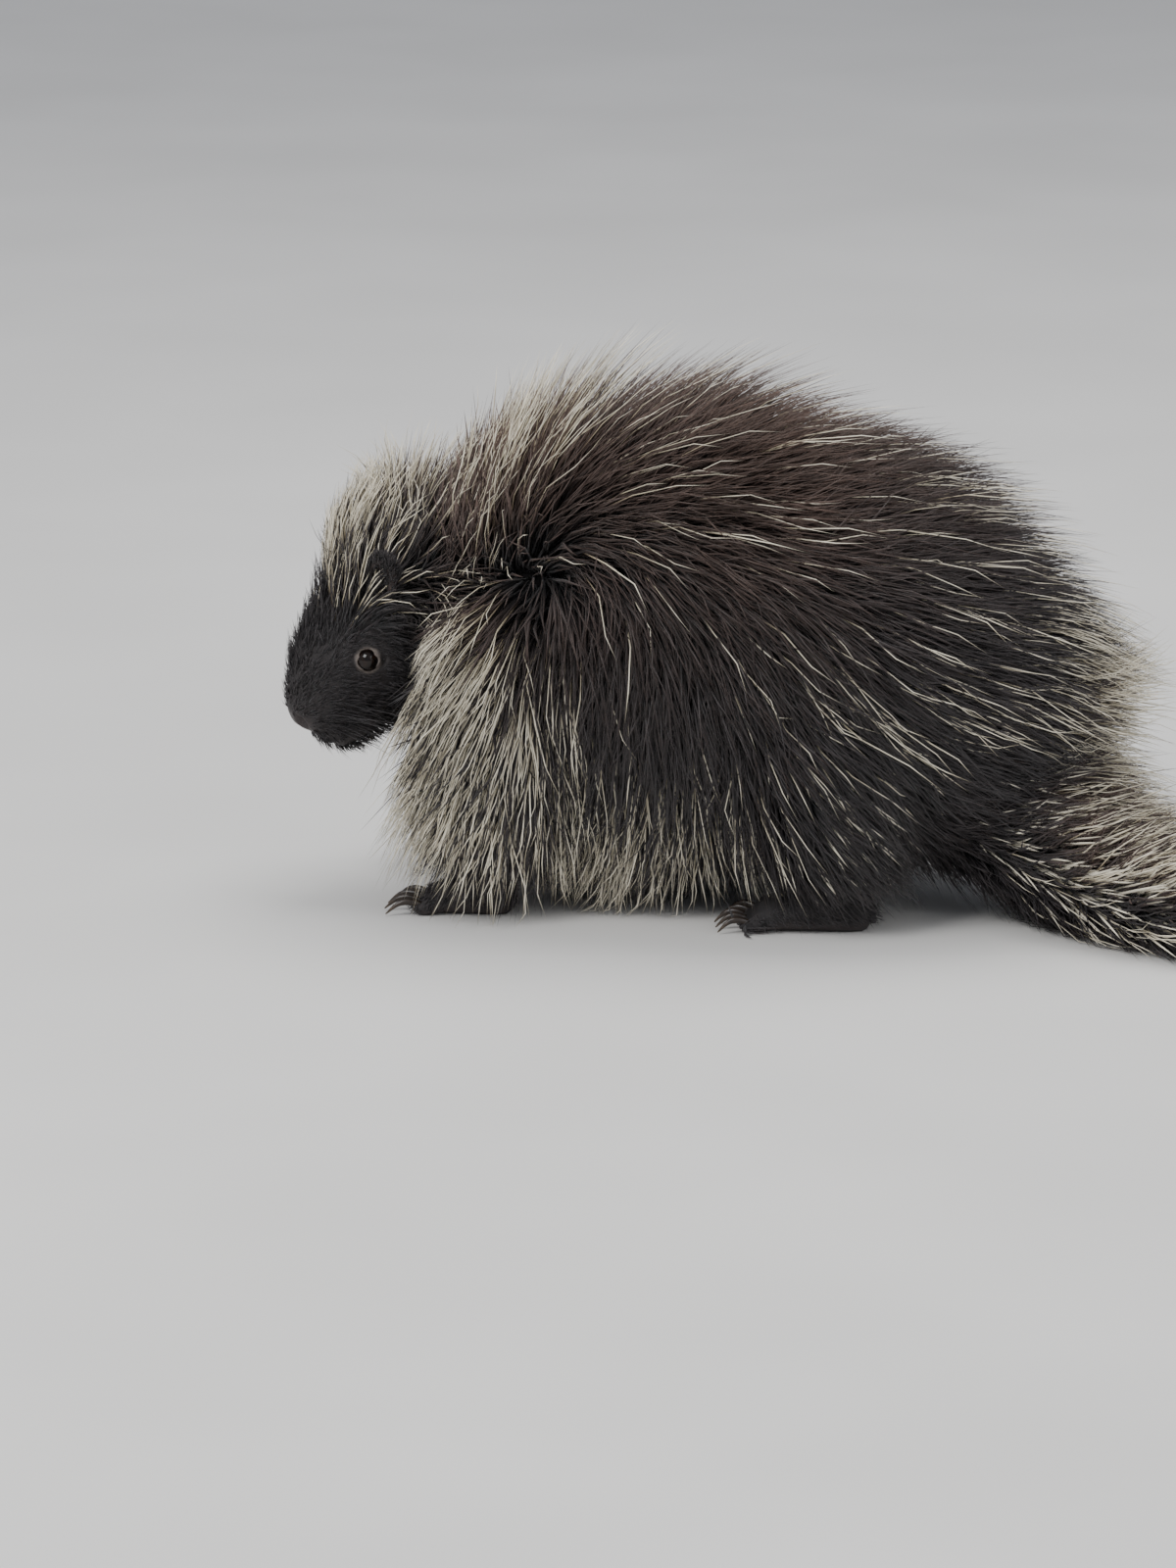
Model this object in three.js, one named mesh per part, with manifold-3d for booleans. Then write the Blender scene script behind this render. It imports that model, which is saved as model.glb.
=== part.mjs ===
// A North American porcupine, life size, standing with its head lowered and its tail laid along the floor.
// Millimetres, +Z up, the head towards -X, the animal's left side towards -Y, the floor at Z = 0.
import * as THREE from "three";
import { mergeVertices } from "three/addons/utils/BufferGeometryUtils.js";
import Module from "manifold-3d";

const wasm = await Module();
wasm.setup();

// Driving dimensions
const GAP = 0.3;
const CORE_SHARE = 0.45;
const SIDES = [-1, 1];
const SIDE_NAME = { "-1": "left", 1: "right" };
const UP = new THREE.Vector3(0, 0, 1);

// Rows of a loft: axis x, y, z, half width, height above and depth below the axis,
// then the coat's depth above, at the side and below.
const TORSO_ROWS = [
  [-135, 0, 160, 42, 52, 52, 40, 26, 16],
  [-95, 0, 164, 68, 86, 86, 46, 28, 14],
  [-40, 0, 160, 86, 112, 100, 50, 28, 12],
  [30, 0, 155, 95, 120, 100, 50, 28, 12],
  [95, 0, 140, 98, 110, 88, 50, 28, 12],
  [150, 0, 118, 84, 84, 70, 46, 26, 14],
  [192, 0, 98, 56, 58, 50, 38, 24, 14],
];
const TORSO_DOMES = [26, 26];
const NECK_ROWS = [
  [-80, 0, 176, 54, 66, 70, 46, 26, 16],
  [-115, 0, 188, 50, 56, 62, 46, 24, 16],
  [-145, -2, 196, 38, 42, 48, 30, 16, 12],
];
const NECK_DOMES = [20, 12];
const TAIL_ROWS = [
  [178, 0, 82, 46, 38, 40, 20, 20, 10],
  [215, -16, 58, 38, 32, 34, 20, 22, 8],
  [258, -44, 37, 32, 26, 33, 18, 24, 6],
  [306, -78, 27, 28, 22, 26, 16, 24, 5],
  [348, -108, 21, 22, 17, 21, 14, 22, 4],
];
const TAIL_DOMES = [20, 24];

// The head's own frame: origin at the back of the skull, pitched down and turned to the left,
// u along the snout, v to the animal's left, w out of the forehead
const HEAD_AT = new THREE.Vector3(-158, 0, 200);
const HEAD_PITCH = THREE.MathUtils.degToRad(42);
const HEAD_YAW = THREE.MathUtils.degToRad(30);
const HEAD_ROWS = [
  [4, 0, 0, 36, 38, 44, 28, 14, 16],
  [34, 0, -4, 39, 42, 50, 24, 10, 16],
  [64, 0, -10, 35, 42, 46, 10, 3, 14],
  [88, 0, -15, 27, 37, 36, 5, 3, 10],
  [108, 0, -19, 21, 26, 26, 2, 2, 6],
];
const HEAD_DOMES = [30, 14];
const HEAD_FROM = 6;

// Eyes and lids
const EYE_S = 0.52;
const EYE_ANGLE = THREE.MathUtils.degToRad(72);
const EYE_TILT = THREE.MathUtils.degToRad(30);
const EYE_RADIUS = 7.5;
const EYE_SUNK = 3.8;
const LID_RING = [8.2, 5.8];
const LID_TUBE = 0.24;

// Nose, nostrils and mouth, in the head's own frame
const NOSE_AT = [119, 0, -8];
const NOSE_SIZE = [7, 12, 9];
const NOSTRIL_AT = [125, 6, -8];
const NOSTRIL_SIZE = [4, 2.2, 3.2];
const MOUTH_W = -33;
const MOUTH_FROM = 90;
const MOUTH_GROOVE = 1.4;
const MOUTH_DEEP = 3;
const LIP_HEIGHT = 6;
const LIP_OUT = 1.2;

// Ears: the way they grow and face, half thickness, half width and half height, and the cup cut into the front
const EAR_S = 0.26;
const EAR_ANGLE = THREE.MathUtils.degToRad(46);
const EAR_GROWS = [-0.5, 0.55, 0.66];
const EAR_FACES = [0.8, 0.45, 0.55];
const EAR_SIZE = [6, 12, 16];
const EAR_CUP = [5, 8.5, 12];
const EAR_CUP_AHEAD = 4.6;
const EAR_RISE = 6;

// Legs
const FORELEG_ROWS = [
  [-98, 52, 150, 26, 36, 32, 14, 12, 12],
  [-96, 64, 108, 24, 32, 30, 14, 12, 12],
  [-100, 68, 66, 19, 24, 23, 12, 10, 10],
  [-110, 68, 30, 16, 19, 18, 8, 6, 6],
];
const HINDLEG_ROWS = [
  [112, 62, 130, 34, 52, 44, 16, 14, 12],
  [102, 76, 92, 32, 46, 40, 16, 14, 12],
  [106, 80, 56, 24, 32, 28, 12, 10, 10],
  [114, 80, 30, 17, 22, 17, 8, 6, 6],
];
const LEG_DOMES = [16, 14];

// Paws: rows as above, then the toes' root x, spread, count, radii, and each claw's length and rise
const FORE_PAW = {
  rows: [
    [-100, 68, 12, 15, 14, 16, 3, 3, 0],
    [-122, 69, 12, 17, 12, 14, 3, 3, 0],
    [-142, 70, 10, 17, 8, 12, 2, 2, 0],
  ],
  domes: [8, 6],
  toeX: -150,
  toeY: 70,
  toes: 4,
  toeStep: 9.6,
  toeSize: [11, 5, 5.4],
  fan: 0.16,
  claw: 21,
};
const HIND_PAW = {
  rows: [
    [126, 79, 13, 15, 15, 16, 3, 3, 0],
    [98, 80, 13, 19, 14, 15, 3, 3, 0],
    [66, 81, 10, 20, 9, 12, 2, 2, 0],
  ],
  domes: [9, 6],
  toeX: 57,
  toeY: 81,
  toes: 5,
  toeStep: 9.2,
  toeSize: [11, 4.8, 5.2],
  fan: 0.13,
  claw: 18,
};
const TOE_Z = 4.6;
const CLAW_RADIUS = 2.4;
const CLAW_TIP_Z = 1.8;

// The lie of the coat on the animal's side, seen from its left: place x, z, the way the hair points x, z,
// a lock's length, how far its tip stands out in shares of the coat's depth, and how freely it leaves the body
const LIE = [
  [-225, 175, 0.3, 1, 24, 1.0, 0],
  [-215, 225, 0.1, 1, 48, 1.4, 0.6],
  [-180, 150, 1, 0.2, 28, 1.1, 0.2],
  [-165, 255, 0.45, 0.9, 70, 1.4, 0.7],
  [-95, 295, 0.5, 0.87, 98, 1.7, 0.8],
  [-30, 320, 0.8, 0.6, 82, 1.3, 0.6],
  [40, 320, 0.9, 0.45, 80, 1.25, 0.5],
  [130, 260, 0.95, 0.15, 80, 1.2, 0.5],
  [225, 160, 1, -0.1, 78, 1.5, 0.75],
  [225, 85, 0.95, -0.35, 60, 1.3, 0.5],
  [-125, 200, -0.8, -0.5, 74, 1.25, 0.3],
  [-115, 130, -0.45, -0.87, 88, 1.3, 0.6],
  [-140, 60, -0.25, -0.95, 62, 1.2, 0.5],
  [-50, 235, 0.4, -0.85, 72, 1.05, 0.1],
  [40, 235, 0.6, -0.7, 72, 1.05, 0.1],
  [-20, 150, 0, -1, 72, 1.1, 0.3],
  [-15, 70, -0.25, -0.97, 76, 1.3, 0.9],
  [80, 160, 0.6, -0.8, 68, 1.1, 0.2],
  [110, 80, 0.6, -0.75, 52, 1.3, 0.4],
  [170, 110, 0.85, -0.4, 60, 1.2, 0.3],
  [200, 50, 1, 0, 50, 1.2, 0.3],
  [320, 40, 1, 0.1, 52, 1.2, 0.3],
];
const LIE_REACH = 28;

// Locks: flat, tapering, with a three-sided section, bent to follow the body, root sunk into the flesh.
// Stations along a lock, then its width, thickness and rise there as shares.
const LOCK_STATIONS = [0, 0.35, 0.7, 1];
const LOCK_WIDTHS = [0.75, 1, 0.55];
const LOCK_THICKNESS = [1, 1, 0.7];
const LOCK_RISE = [0, 0.45, 0.8, 1];
const FREE_OUT = 0.4;
const ROOT_SUNK = 6;
const FLOOR_CLEAR = 1.2;
const LOCK_TRIES = 5;
const LOCK_SEED = 20931;
const NODE_ORDER = ["head", "neck", "foreleg", "hindleg", "tail", "torso"];

// Parting planes: between neck and torso, and between torso and tail
const NECK_PLANE_X = -120;
const TAIL_PLANE_AT = new THREE.Vector3(205, 0, 60);
const TAIL_PLANE_NORMAL = new THREE.Vector3(0.5, 0, -0.87).normalize();

const MATERIALS = {
  fur: new THREE.MeshStandardMaterial({ name: "fur", color: 0x3a3433, roughness: 0.9, flatShading: true }),
  skin: new THREE.MeshStandardMaterial({ name: "skin", color: 0x2a2626, roughness: 0.8, flatShading: true }),
  claw: new THREE.MeshStandardMaterial({ name: "claw", color: 0x4a4038, roughness: 0.45, flatShading: true }),
  eye: new THREE.MeshStandardMaterial({ name: "eye", color: 0x0c0a0a, roughness: 0.1, flatShading: true }),
};

function clamp(value, low, high) {
  return Math.min(Math.max(value, low), high);
}

// The row at share s of a loft's length, by Catmull-Rom between its stations.
function rowAt(rows, s) {
  const t = s * (rows.length - 1);
  const i = Math.min(Math.floor(t), rows.length - 2);
  const f = t - i;
  const [a, b, c, d] = [-1, 0, 1, 2].map((k) => rows[clamp(i + k, 0, rows.length - 1)]);
  return b.map((value, k) => {
    const slopeIn = (c[k] - a[k]) / 2;
    const slopeOut = (d[k] - value) / 2;
    const cube = 2 * value - 2 * c[k] + slopeIn + slopeOut;
    const square = 3 * (c[k] - value) - 2 * slopeIn - slopeOut;
    return ((cube * f + square) * f + slopeIn) * f + value;
  });
}

// A body part with a bent axis and oval rings, closed by a dome at each end. Angle 0 is towards `ref`.
class Loft {
  constructor(rows, domes, ref = UP, domeShare = 0.12) {
    this.rows = rows;
    this.domes = domes;
    this.ref = ref;
    this.domeShare = domeShare;
  }

  frameAt(s) {
    const [x, y, z, ...sizes] = rowAt(this.rows, s);
    const ahead = rowAt(this.rows, Math.min(s + 0.01, 1));
    const behind = rowAt(this.rows, Math.max(s - 0.01, 0));
    const along = new THREE.Vector3(...[0, 1, 2].map((k) => ahead[k] - behind[k])).normalize();
    const side = along.clone().cross(this.ref).normalize();
    const up = side.clone().cross(along);
    return { centre: new THREE.Vector3(x, y, z), along, side, up, sizes };
  }

  coatAt(sizes, angle) {
    const c = Math.cos(angle);
    const end = c > 0 ? sizes[3] : sizes[5];
    return THREE.MathUtils.lerp(sizes[4], end, c * c);
  }

  // The point at share s of the length and an angle, out to a share of the coat's depth, plus extra millimetres.
  point(s, angle, share = 0, extra = 0) {
    const e = this.domeShare;
    const body = clamp((s - e) / (1 - 2 * e), 0, 1);
    const { centre, along, side, up, sizes } = this.frameAt(body);
    const turn = (Math.max(e - s, s - (1 - e), 0) / e) * (Math.PI / 2);
    const end = s < e ? 0 : 1;
    const [width, above, below] = sizes;
    const high = Math.cos(angle) > 0 ? above : below;
    const out = this.coatAt(sizes, angle) * share + extra;
    const ring = side.clone().multiplyScalar(width * Math.sin(angle));
    ring.addScaledVector(up, high * Math.cos(angle));
    const away = side.clone().multiplyScalar(Math.sin(angle) / width);
    away.addScaledVector(up, Math.cos(angle) / high).normalize();
    ring.addScaledVector(away, out).multiplyScalar(Math.cos(turn));
    const reach = (this.domes[end] + sizes[4] * share + extra) * Math.sin(turn);
    return centre.add(ring).addScaledVector(along, end ? reach : -reach);
  }

  normal(s, angle, share = 0) {
    const ds = 0.01;
    const da = 0.05;
    const s0 = clamp(s, ds, 1 - ds);
    const lengthwise = this.point(s0 + ds, angle, share).sub(this.point(s0 - ds, angle, share));
    const round = this.point(s0, angle + da, share).sub(this.point(s0, angle - da, share));
    return round.cross(lengthwise).normalize();
  }

  geometry(rings, around, share = 0, extra = 0) {
    const points = [this.point(0, 0, share, extra)];
    for (let i = 1; i <= rings; i += 1) {
      const s = i / (rings + 1);
      for (let k = 0; k < around; k += 1) {
        points.push(this.point(s, (k / around) * 2 * Math.PI, share, extra));
      }
    }
    points.push(this.point(1, 0, share, extra));
    const last = points.length - 1;
    const at = (ring, k) => 1 + ring * around + (k % around);
    const faces = [];
    for (let k = 0; k < around; k += 1) {
      faces.push(0, at(0, k + 1), at(0, k));
      faces.push(last, at(rings - 1, k), at(rings - 1, k + 1));
      for (let r = 0; r < rings - 1; r += 1) {
        faces.push(at(r, k), at(r, k + 1), at(r + 1, k));
        faces.push(at(r, k + 1), at(r + 1, k + 1), at(r + 1, k));
      }
    }
    const geometry = new THREE.BufferGeometry().setFromPoints(points);
    return geometry.setIndex(faces);
  }
}

// A closed three.js geometry as a solid that can be joined and cut.
function solidOf(geometry, matrix = new THREE.Matrix4()) {
  const bare = new THREE.BufferGeometry();
  bare.setAttribute("position", geometry.getAttribute("position").clone());
  bare.setIndex(geometry.index);
  bare.applyMatrix4(matrix);
  const merged = mergeVertices(bare, 1e-4);
  const mesh = new wasm.Mesh({
    numProp: 3,
    vertProperties: merged.getAttribute("position").array,
    triVerts: new Uint32Array(merged.index.array),
  });
  return new wasm.Manifold(mesh);
}

function geometryOf(solid) {
  const mesh = solid.getMesh();
  const geometry = new THREE.BufferGeometry();
  geometry.setAttribute("position", new THREE.Float32BufferAttribute(mesh.vertProperties, 3));
  geometry.setIndex(Array.from(mesh.triVerts));
  geometry.computeVertexNormals();
  return geometry;
}

function union(solids) {
  return wasm.Manifold.union(solids);
}

// The largest closed surface of a solid, without scraps and sealed hollows.
function largest(solid) {
  return solid.decompose().reduce((a, b) => (a.volume() > b.volume() ? a : b));
}

// What lies on the far side of a plane, seen along its normal.
function beyond(solid, normal, at, shift = 0) {
  return solid.trimByPlane(normal.toArray(), normal.dot(at) + shift);
}

function ellipsoid(at, size, columns = 12, rows = 8) {
  const geometry = new THREE.SphereGeometry(1, columns, rows);
  const matrix = new THREE.Matrix4().makeScale(...size).setPosition(...at);
  return solidOf(geometry, matrix);
}

function placed(solid, matrix) {
  return solid.transform(matrix.elements);
}

// Head frame
const headU = new THREE.Vector3(
  -Math.cos(HEAD_PITCH) * Math.cos(HEAD_YAW),
  -Math.cos(HEAD_PITCH) * Math.sin(HEAD_YAW),
  -Math.sin(HEAD_PITCH),
);
const headV = new THREE.Vector3(Math.sin(HEAD_YAW), -Math.cos(HEAD_YAW), 0);
const headW = headU.clone().cross(headV);
const headMatrix = new THREE.Matrix4().makeBasis(headU, headV, headW).setPosition(HEAD_AT);

// Flesh
const torsoLoft = new Loft(TORSO_ROWS, TORSO_DOMES);
const neckLoft = new Loft(NECK_ROWS, NECK_DOMES);
const tailLoft = new Loft(TAIL_ROWS, TAIL_DOMES);
const headLoft = new Loft(HEAD_ROWS, HEAD_DOMES);
const bodies = { torso: [torsoLoft, 14, 20], neck: [neckLoft, 8, 18], tail: [tailLoft, 12, 14] };

function trunk(extra) {
  const solids = Object.values(bodies).map(([loft, rings, around]) =>
    solidOf(loft.geometry(rings, around, CORE_SHARE, extra)),
  );
  return union(solids);
}

function headCore(extra) {
  return solidOf(headLoft.geometry(12, 16, CORE_SHARE, extra));
}

function aheadOf(solid, u) {
  return solid.trimByPlane([1, 0, 0], u);
}

// The ball, its place and the frame of the lids' opening on one side of the head.
function eyeOn(side) {
  const angle = EYE_ANGLE * side;
  const surface = headLoft.point(EYE_S, angle, CORE_SHARE);
  const out = headLoft.normal(EYE_S, angle, CORE_SHARE);
  const long = new THREE.Vector3(Math.cos(EYE_TILT), 0, Math.sin(EYE_TILT));
  long.addScaledVector(out, -long.dot(out)).normalize();
  const centre = surface.clone().addScaledVector(out, -EYE_SUNK);
  return { surface, out, long, centre };
}

function lids(side) {
  const { surface, out, long } = eyeOn(side);
  const torus = new THREE.TorusGeometry(1, LID_TUBE, 4, 12);
  const matrix = new THREE.Matrix4().makeBasis(long, out.clone().cross(long), out);
  matrix.scale(new THREE.Vector3(...LID_RING, LID_RING[0])).setPosition(surface);
  return solidOf(torus, matrix);
}

function eyeball(side, extra = 0) {
  const { centre } = eyeOn(side);
  const r = EYE_RADIUS + extra;
  return ellipsoid(centre.toArray(), [r, r, r], 10, 8);
}

function slab(low, high, height) {
  const box = new THREE.BoxGeometry(high - low, 90, height);
  const place = new THREE.Matrix4().setPosition((low + high) / 2, 0, MOUTH_W);
  return solidOf(box, place);
}

// The head with its nose, lips, lids and sockets, in its own frame.
function headFlesh() {
  const lipRim = slab(MOUTH_FROM, 150, LIP_HEIGHT).intersect(headCore(LIP_OUT));
  const nose = ellipsoid(NOSE_AT, NOSE_SIZE);
  let flesh = union([headCore(0), lipRim, nose, ...SIDES.map(lids)]);
  const groove = slab(MOUTH_FROM - 4, 150, MOUTH_GROOVE).subtract(headCore(-MOUTH_DEEP));
  const nostrils = SIDES.map((side) =>
    ellipsoid([NOSTRIL_AT[0], NOSTRIL_AT[1] * side, NOSTRIL_AT[2]], NOSTRIL_SIZE, 8, 6),
  );
  const cutters = [groove, ...nostrils, ...SIDES.map((side) => eyeball(side, GAP))];
  flesh = flesh.subtract(union(cutters));
  return largest(aheadOf(flesh, HEAD_FROM));
}

// An ear: a thin oval leaf, hollowed from the front, standing on the head's side.
function ear(side) {
  const angle = EAR_ANGLE * side;
  const root = headLoft.point(EAR_S, angle, CORE_SHARE);
  const outwards = ([u, v, w]) => new THREE.Vector3(u, -side * v, w).normalize();
  const grows = outwards(EAR_GROWS);
  const front = outwards(EAR_FACES);
  front.addScaledVector(grows, -front.dot(grows)).normalize();
  const matrix = new THREE.Matrix4().makeBasis(front, grows.clone().cross(front), grows);
  matrix.setPosition(root.addScaledVector(grows, EAR_RISE));
  const leaf = ellipsoid([0, 0, 0], EAR_SIZE, 10, 7);
  const cup = ellipsoid([EAR_CUP_AHEAD, 0, 1], EAR_CUP, 8, 6);
  const shape = placed(leaf.subtract(cup), matrix);
  return largest(shape.subtract(headCore(GAP)));
}

const SOLE = [0, 0, 1];

function pawRaw(paw, side, extra) {
  const rows = paw.rows.map(([x, y, ...rest]) => [x, y * side, ...rest]);
  const solids = [solidOf(new Loft(rows, paw.domes).geometry(5, 9, 1, extra))];
  for (let i = 0; i < paw.toes; i += 1) {
    solids.push(toe(paw, side, i, extra));
  }
  return union(solids);
}

// Place and heading of one toe, counted from the inner side.
function toeAt(paw, side, i) {
  const off = i - (paw.toes - 1) / 2;
  const turn = off * paw.fan;
  const back = Math.abs(off) * 2.2;
  const at = new THREE.Vector3(paw.toeX + back, side * (paw.toeY + off * paw.toeStep), TOE_Z);
  const heading = new THREE.Vector3(-Math.cos(turn), side * Math.sin(turn), 0);
  return { at, heading };
}

function toe(paw, side, i, extra) {
  const { at, heading } = toeAt(paw, side, i);
  const matrix = new THREE.Matrix4().makeBasis(heading, UP.clone().cross(heading), UP).setPosition(at);
  const size = paw.toeSize.map((radius) => radius + extra);
  return placed(ellipsoid([0, 0, 0], size, 6, 5), matrix);
}

// A claw: bent down from the toe's tip to a point just above the floor.
function claw(paw, side, i) {
  const { at, heading } = toeAt(paw, side, i);
  const rise = [2.6, 4.4, 2.8, CLAW_TIP_Z - TOE_Z];
  const rows = rise.map((z, k) => {
    const along = (k / 3) * paw.claw + paw.toeSize[0] * 0.35;
    const p = at.clone().addScaledVector(heading, along);
    const r = CLAW_RADIUS * (1 - 0.8 * (k / 3) ** 2);
    return [p.x, p.y, p.z + z, r * 0.8, r, r, 0, 0, 0];
  });
  const horn = solidOf(new Loft(rows, [1.5, 0.6]).geometry(3, 5));
  return largest(horn.subtract(pawRaw(paw, side, GAP)));
}

function legLoft(rows, side) {
  const mirrored = rows.map(([x, y, ...rest]) => [x, y * side, ...rest]);
  return new Loft(mirrored, LEG_DOMES, new THREE.Vector3(-1, 0, 0));
}

// A seeded stream of even random numbers from 0 to 1.
function randomFrom(seed) {
  let state = seed;
  return () => {
    state = (state + 0x6d2b79f5) | 0;
    let t = Math.imul(state ^ (state >>> 15), 1 | state);
    t = (t + Math.imul(t ^ (t >>> 7), 61 | t)) ^ t;
    return ((t ^ (t >>> 14)) >>> 0) / 4294967296;
  };
}

// A loft's surface as it stands in the model.
class Surface {
  constructor(loft, matrix = new THREE.Matrix4()) {
    this.loft = loft;
    this.matrix = matrix;
  }

  at(s, angle) {
    return this.loft.point(s, angle, CORE_SHARE).applyMatrix4(this.matrix);
  }

  out(s, angle) {
    return this.loft.normal(s, angle, CORE_SHARE).transformDirection(this.matrix);
  }

  depth(s, angle) {
    const e = this.loft.domeShare;
    const body = clamp((s - e) / (1 - 2 * e), 0, 1);
    return this.loft.coatAt(this.loft.frameAt(body).sizes, angle);
  }

  // The share and angle reached by a move along the surface.
  moved(s, angle, move) {
    const ds = 0.01;
    const da = 0.04;
    const here = this.at(s, angle);
    const along = this.at(s + ds, angle).sub(here).divideScalar(ds);
    const round = this.at(s, angle + da).sub(here).divideScalar(da);
    const [a, b, c] = [along.dot(along), along.dot(round), round.dot(round)];
    const [u, v] = [along.dot(move), round.dot(move)];
    const det = Math.max(a * c - b * b, 1);
    const turn = clamp((a * v - b * u) / det, -0.6, 0.6);
    return [clamp(s + (c * u - b * v) / det, 0.02, 0.97), angle + turn];
  }
}

// The lie at a place on the body: the way the hair points along the surface, its length and its stand.
function lieAt(place, out) {
  const free = new THREE.Vector3();
  const sums = [0, 0, 0];
  let total = 0;
  for (const [x, z, dx, dz, ...rest] of LIE) {
    const near = 1 / ((place.x - x) ** 2 + (place.z - z) ** 2 + LIE_REACH ** 2) ** 2;
    free.add(new THREE.Vector3(dx * near, 0, dz * near));
    total += near;
    rest.forEach((value, k) => (sums[k] += near * value));
  }
  const [long, stand, loose] = sums.map((sum) => sum / total);
  const way = free.clone().addScaledVector(out, -free.dot(out)).normalize();
  free.normalize().addScaledVector(out, FREE_OUT).normalize();
  return { way, free, long, stand, loose };
}

// The middle line of a lock rooted at s and angle, with the way out of the surface at each station.
// It follows the surface, or goes straight on where the coat is loose.
function lockLine(surface, s, angle, kind) {
  const root = surface.at(s, angle);
  const first = surface.out(s, angle);
  const { free, long, stand, loose } = lieAt(root, first);
  free.applyAxisAngle(first, kind.turn);
  const length = long * kind.length;
  const rise = Math.max(surface.depth(s, angle) * (stand * kind.stand - CORE_SHARE) + kind.lift, 3);
  const line = [{ at: root.clone().addScaledVector(first, -ROOT_SUNK), out: first }];
  const straight = root.clone();
  for (let k = 1; k < LOCK_STATIONS.length; k += 1) {
    const here = surface.at(s, angle);
    const { way } = lieAt(here, surface.out(s, angle));
    const step = length * (LOCK_STATIONS[k] - LOCK_STATIONS[k - 1]);
    const move = way.applyAxisAngle(first, kind.turn).multiplyScalar(step);
    [s, angle] = surface.moved(s, angle, move);
    const out = surface.out(s, angle);
    straight.addScaledVector(free, step).addScaledVector(first, (kind.lift / 3) * LOCK_STATIONS[k]);
    const close = surface.at(s, angle).addScaledVector(out, rise * LOCK_RISE[k]);
    line.push({ at: close.lerp(straight, loose), out });
  }
  return line;
}

// A closed flat lock along its middle line, ridged on its outer side.
function lockSolid(line, width, thickness, extra) {
  const points = [];
  const last = line.length - 1;
  for (let k = 0; k < last; k += 1) {
    const along = line[k + 1].at.clone().sub(line[Math.max(k - 1, 0)].at).normalize();
    const side = along.clone().cross(line[k].out).normalize();
    const out = side.clone().cross(along);
    const half = (width * LOCK_WIDTHS[k]) / 2 + extra * 3;
    const ridge = thickness * LOCK_THICKNESS[k] + extra * 1.5;
    for (const [a, b] of [[half, -extra], [0, ridge], [-half, -extra]]) {
      points.push(line[k].at.clone().addScaledVector(side, a).addScaledVector(out, b));
    }
  }
  const end = line[last].at.clone().sub(line[last - 1].at).normalize();
  points.push(line[last].at.clone().addScaledVector(end, extra * 3));
  const faces = [0, 1, 2];
  for (let k = 0; k < last; k += 1) {
    for (let i = 0; i < 3; i += 1) {
      const a = k * 3 + i;
      const b = k * 3 + ((i + 1) % 3);
      if (k === last - 1) {
        faces.push(a, last * 3, b);
      } else {
        faces.push(a, a + 3, b, b, a + 3, b + 3);
      }
    }
  }
  return solidOf(new THREE.BufferGeometry().setFromPoints(points).setIndex(faces));
}

// Roots spread evenly over a surface, no two nearer than the spacing.
function rootsOn(surface, spacing, random, belongs) {
  const roots = [];
  for (let i = 0; i < 6000; i += 1) {
    const s = 0.04 + 0.93 * random();
    const angle = 2 * Math.PI * random();
    const at = surface.at(s, angle);
    if (belongs(at) && roots.every((root) => root.at.distanceTo(at) > spacing)) {
      roots.push({ s, angle, at });
    }
  }
  return roots;
}

function boxesMeet(a, b) {
  return [0, 1, 2].every((k) => a.min[k] < b.max[k] && b.min[k] < a.max[k]);
}

function clearOf(solid, others) {
  const box = solid.boundingBox();
  if (box.min[2] < FLOOR_CLEAR) {
    return false;
  }
  return others.every((other) => !boxesMeet(box, other.box) || solid.intersect(other.solid).isEmpty());
}

// All locks of one node, each lifted or shortened until it is clear of every other node.
function locksOf(coat, core, others, random) {
  const locks = [];
  for (const surface of coat.on) {
    for (const { s, angle } of rootsOn(surface, coat.spacing, random, coat.belongs)) {
      const kind = { length: 0.85 + 0.3 * random(), stand: 0.95 + 0.1 * random(), turn: 0.3 * (random() - 0.5), lift: 0 };
      const width = coat.width * (0.85 + 0.3 * random());
      for (let i = 0; i < LOCK_TRIES; i += 1) {
        const line = lockLine(surface, s, angle, kind);
        const solid = lockSolid(line, width, coat.thick, 0);
        const bare = solid.subtract(core).volume();
        if (bare < 0.35 * solid.volume()) {
          break;
        }
        if (clearOf(lockSolid(line, width, coat.thick, GAP), others)) {
          locks.push(solid);
          break;
        }
        kind.lift += i < 2 ? 5 : 0;
        kind.length *= i < 2 ? 1 : 0.72;
      }
    }
  }
  return locks;
}

// Solids by node, each with its material
const nodes = new Map();

const body = trunk(0).trimByPlane(SOLE, 0);
const bodyGrown = trunk(GAP);
const headCutter = placed(aheadOf(headCore(GAP), HEAD_FROM - GAP), headMatrix);
const headRoot = placed(headCore(0).trimByPlane([-1, 0, 0], -(HEAD_FROM + 1)), headMatrix);
const trunkSolid = union([body, headRoot]).subtract(headCutter);
const towardsHead = new THREE.Vector3(-1, 0, 0);
const neckPlane = new THREE.Vector3(NECK_PLANE_X, 0, 0);
const backwards = towardsHead.clone().negate();
const intoTorso = TAIL_PLANE_NORMAL.clone().negate();

nodes.set("torso", [
  largest(
    beyond(beyond(trunkSolid, backwards, neckPlane, GAP / 2), intoTorso, TAIL_PLANE_AT, GAP / 2),
  ),
  "fur",
]);
nodes.set("neck", [largest(beyond(trunkSolid, towardsHead, neckPlane, GAP / 2)), "fur"]);
nodes.set("tail", [largest(beyond(trunkSolid, TAIL_PLANE_NORMAL, TAIL_PLANE_AT, GAP / 2)), "fur"]);
nodes.set("head", [placed(headFlesh(), headMatrix), "fur"]);

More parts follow.
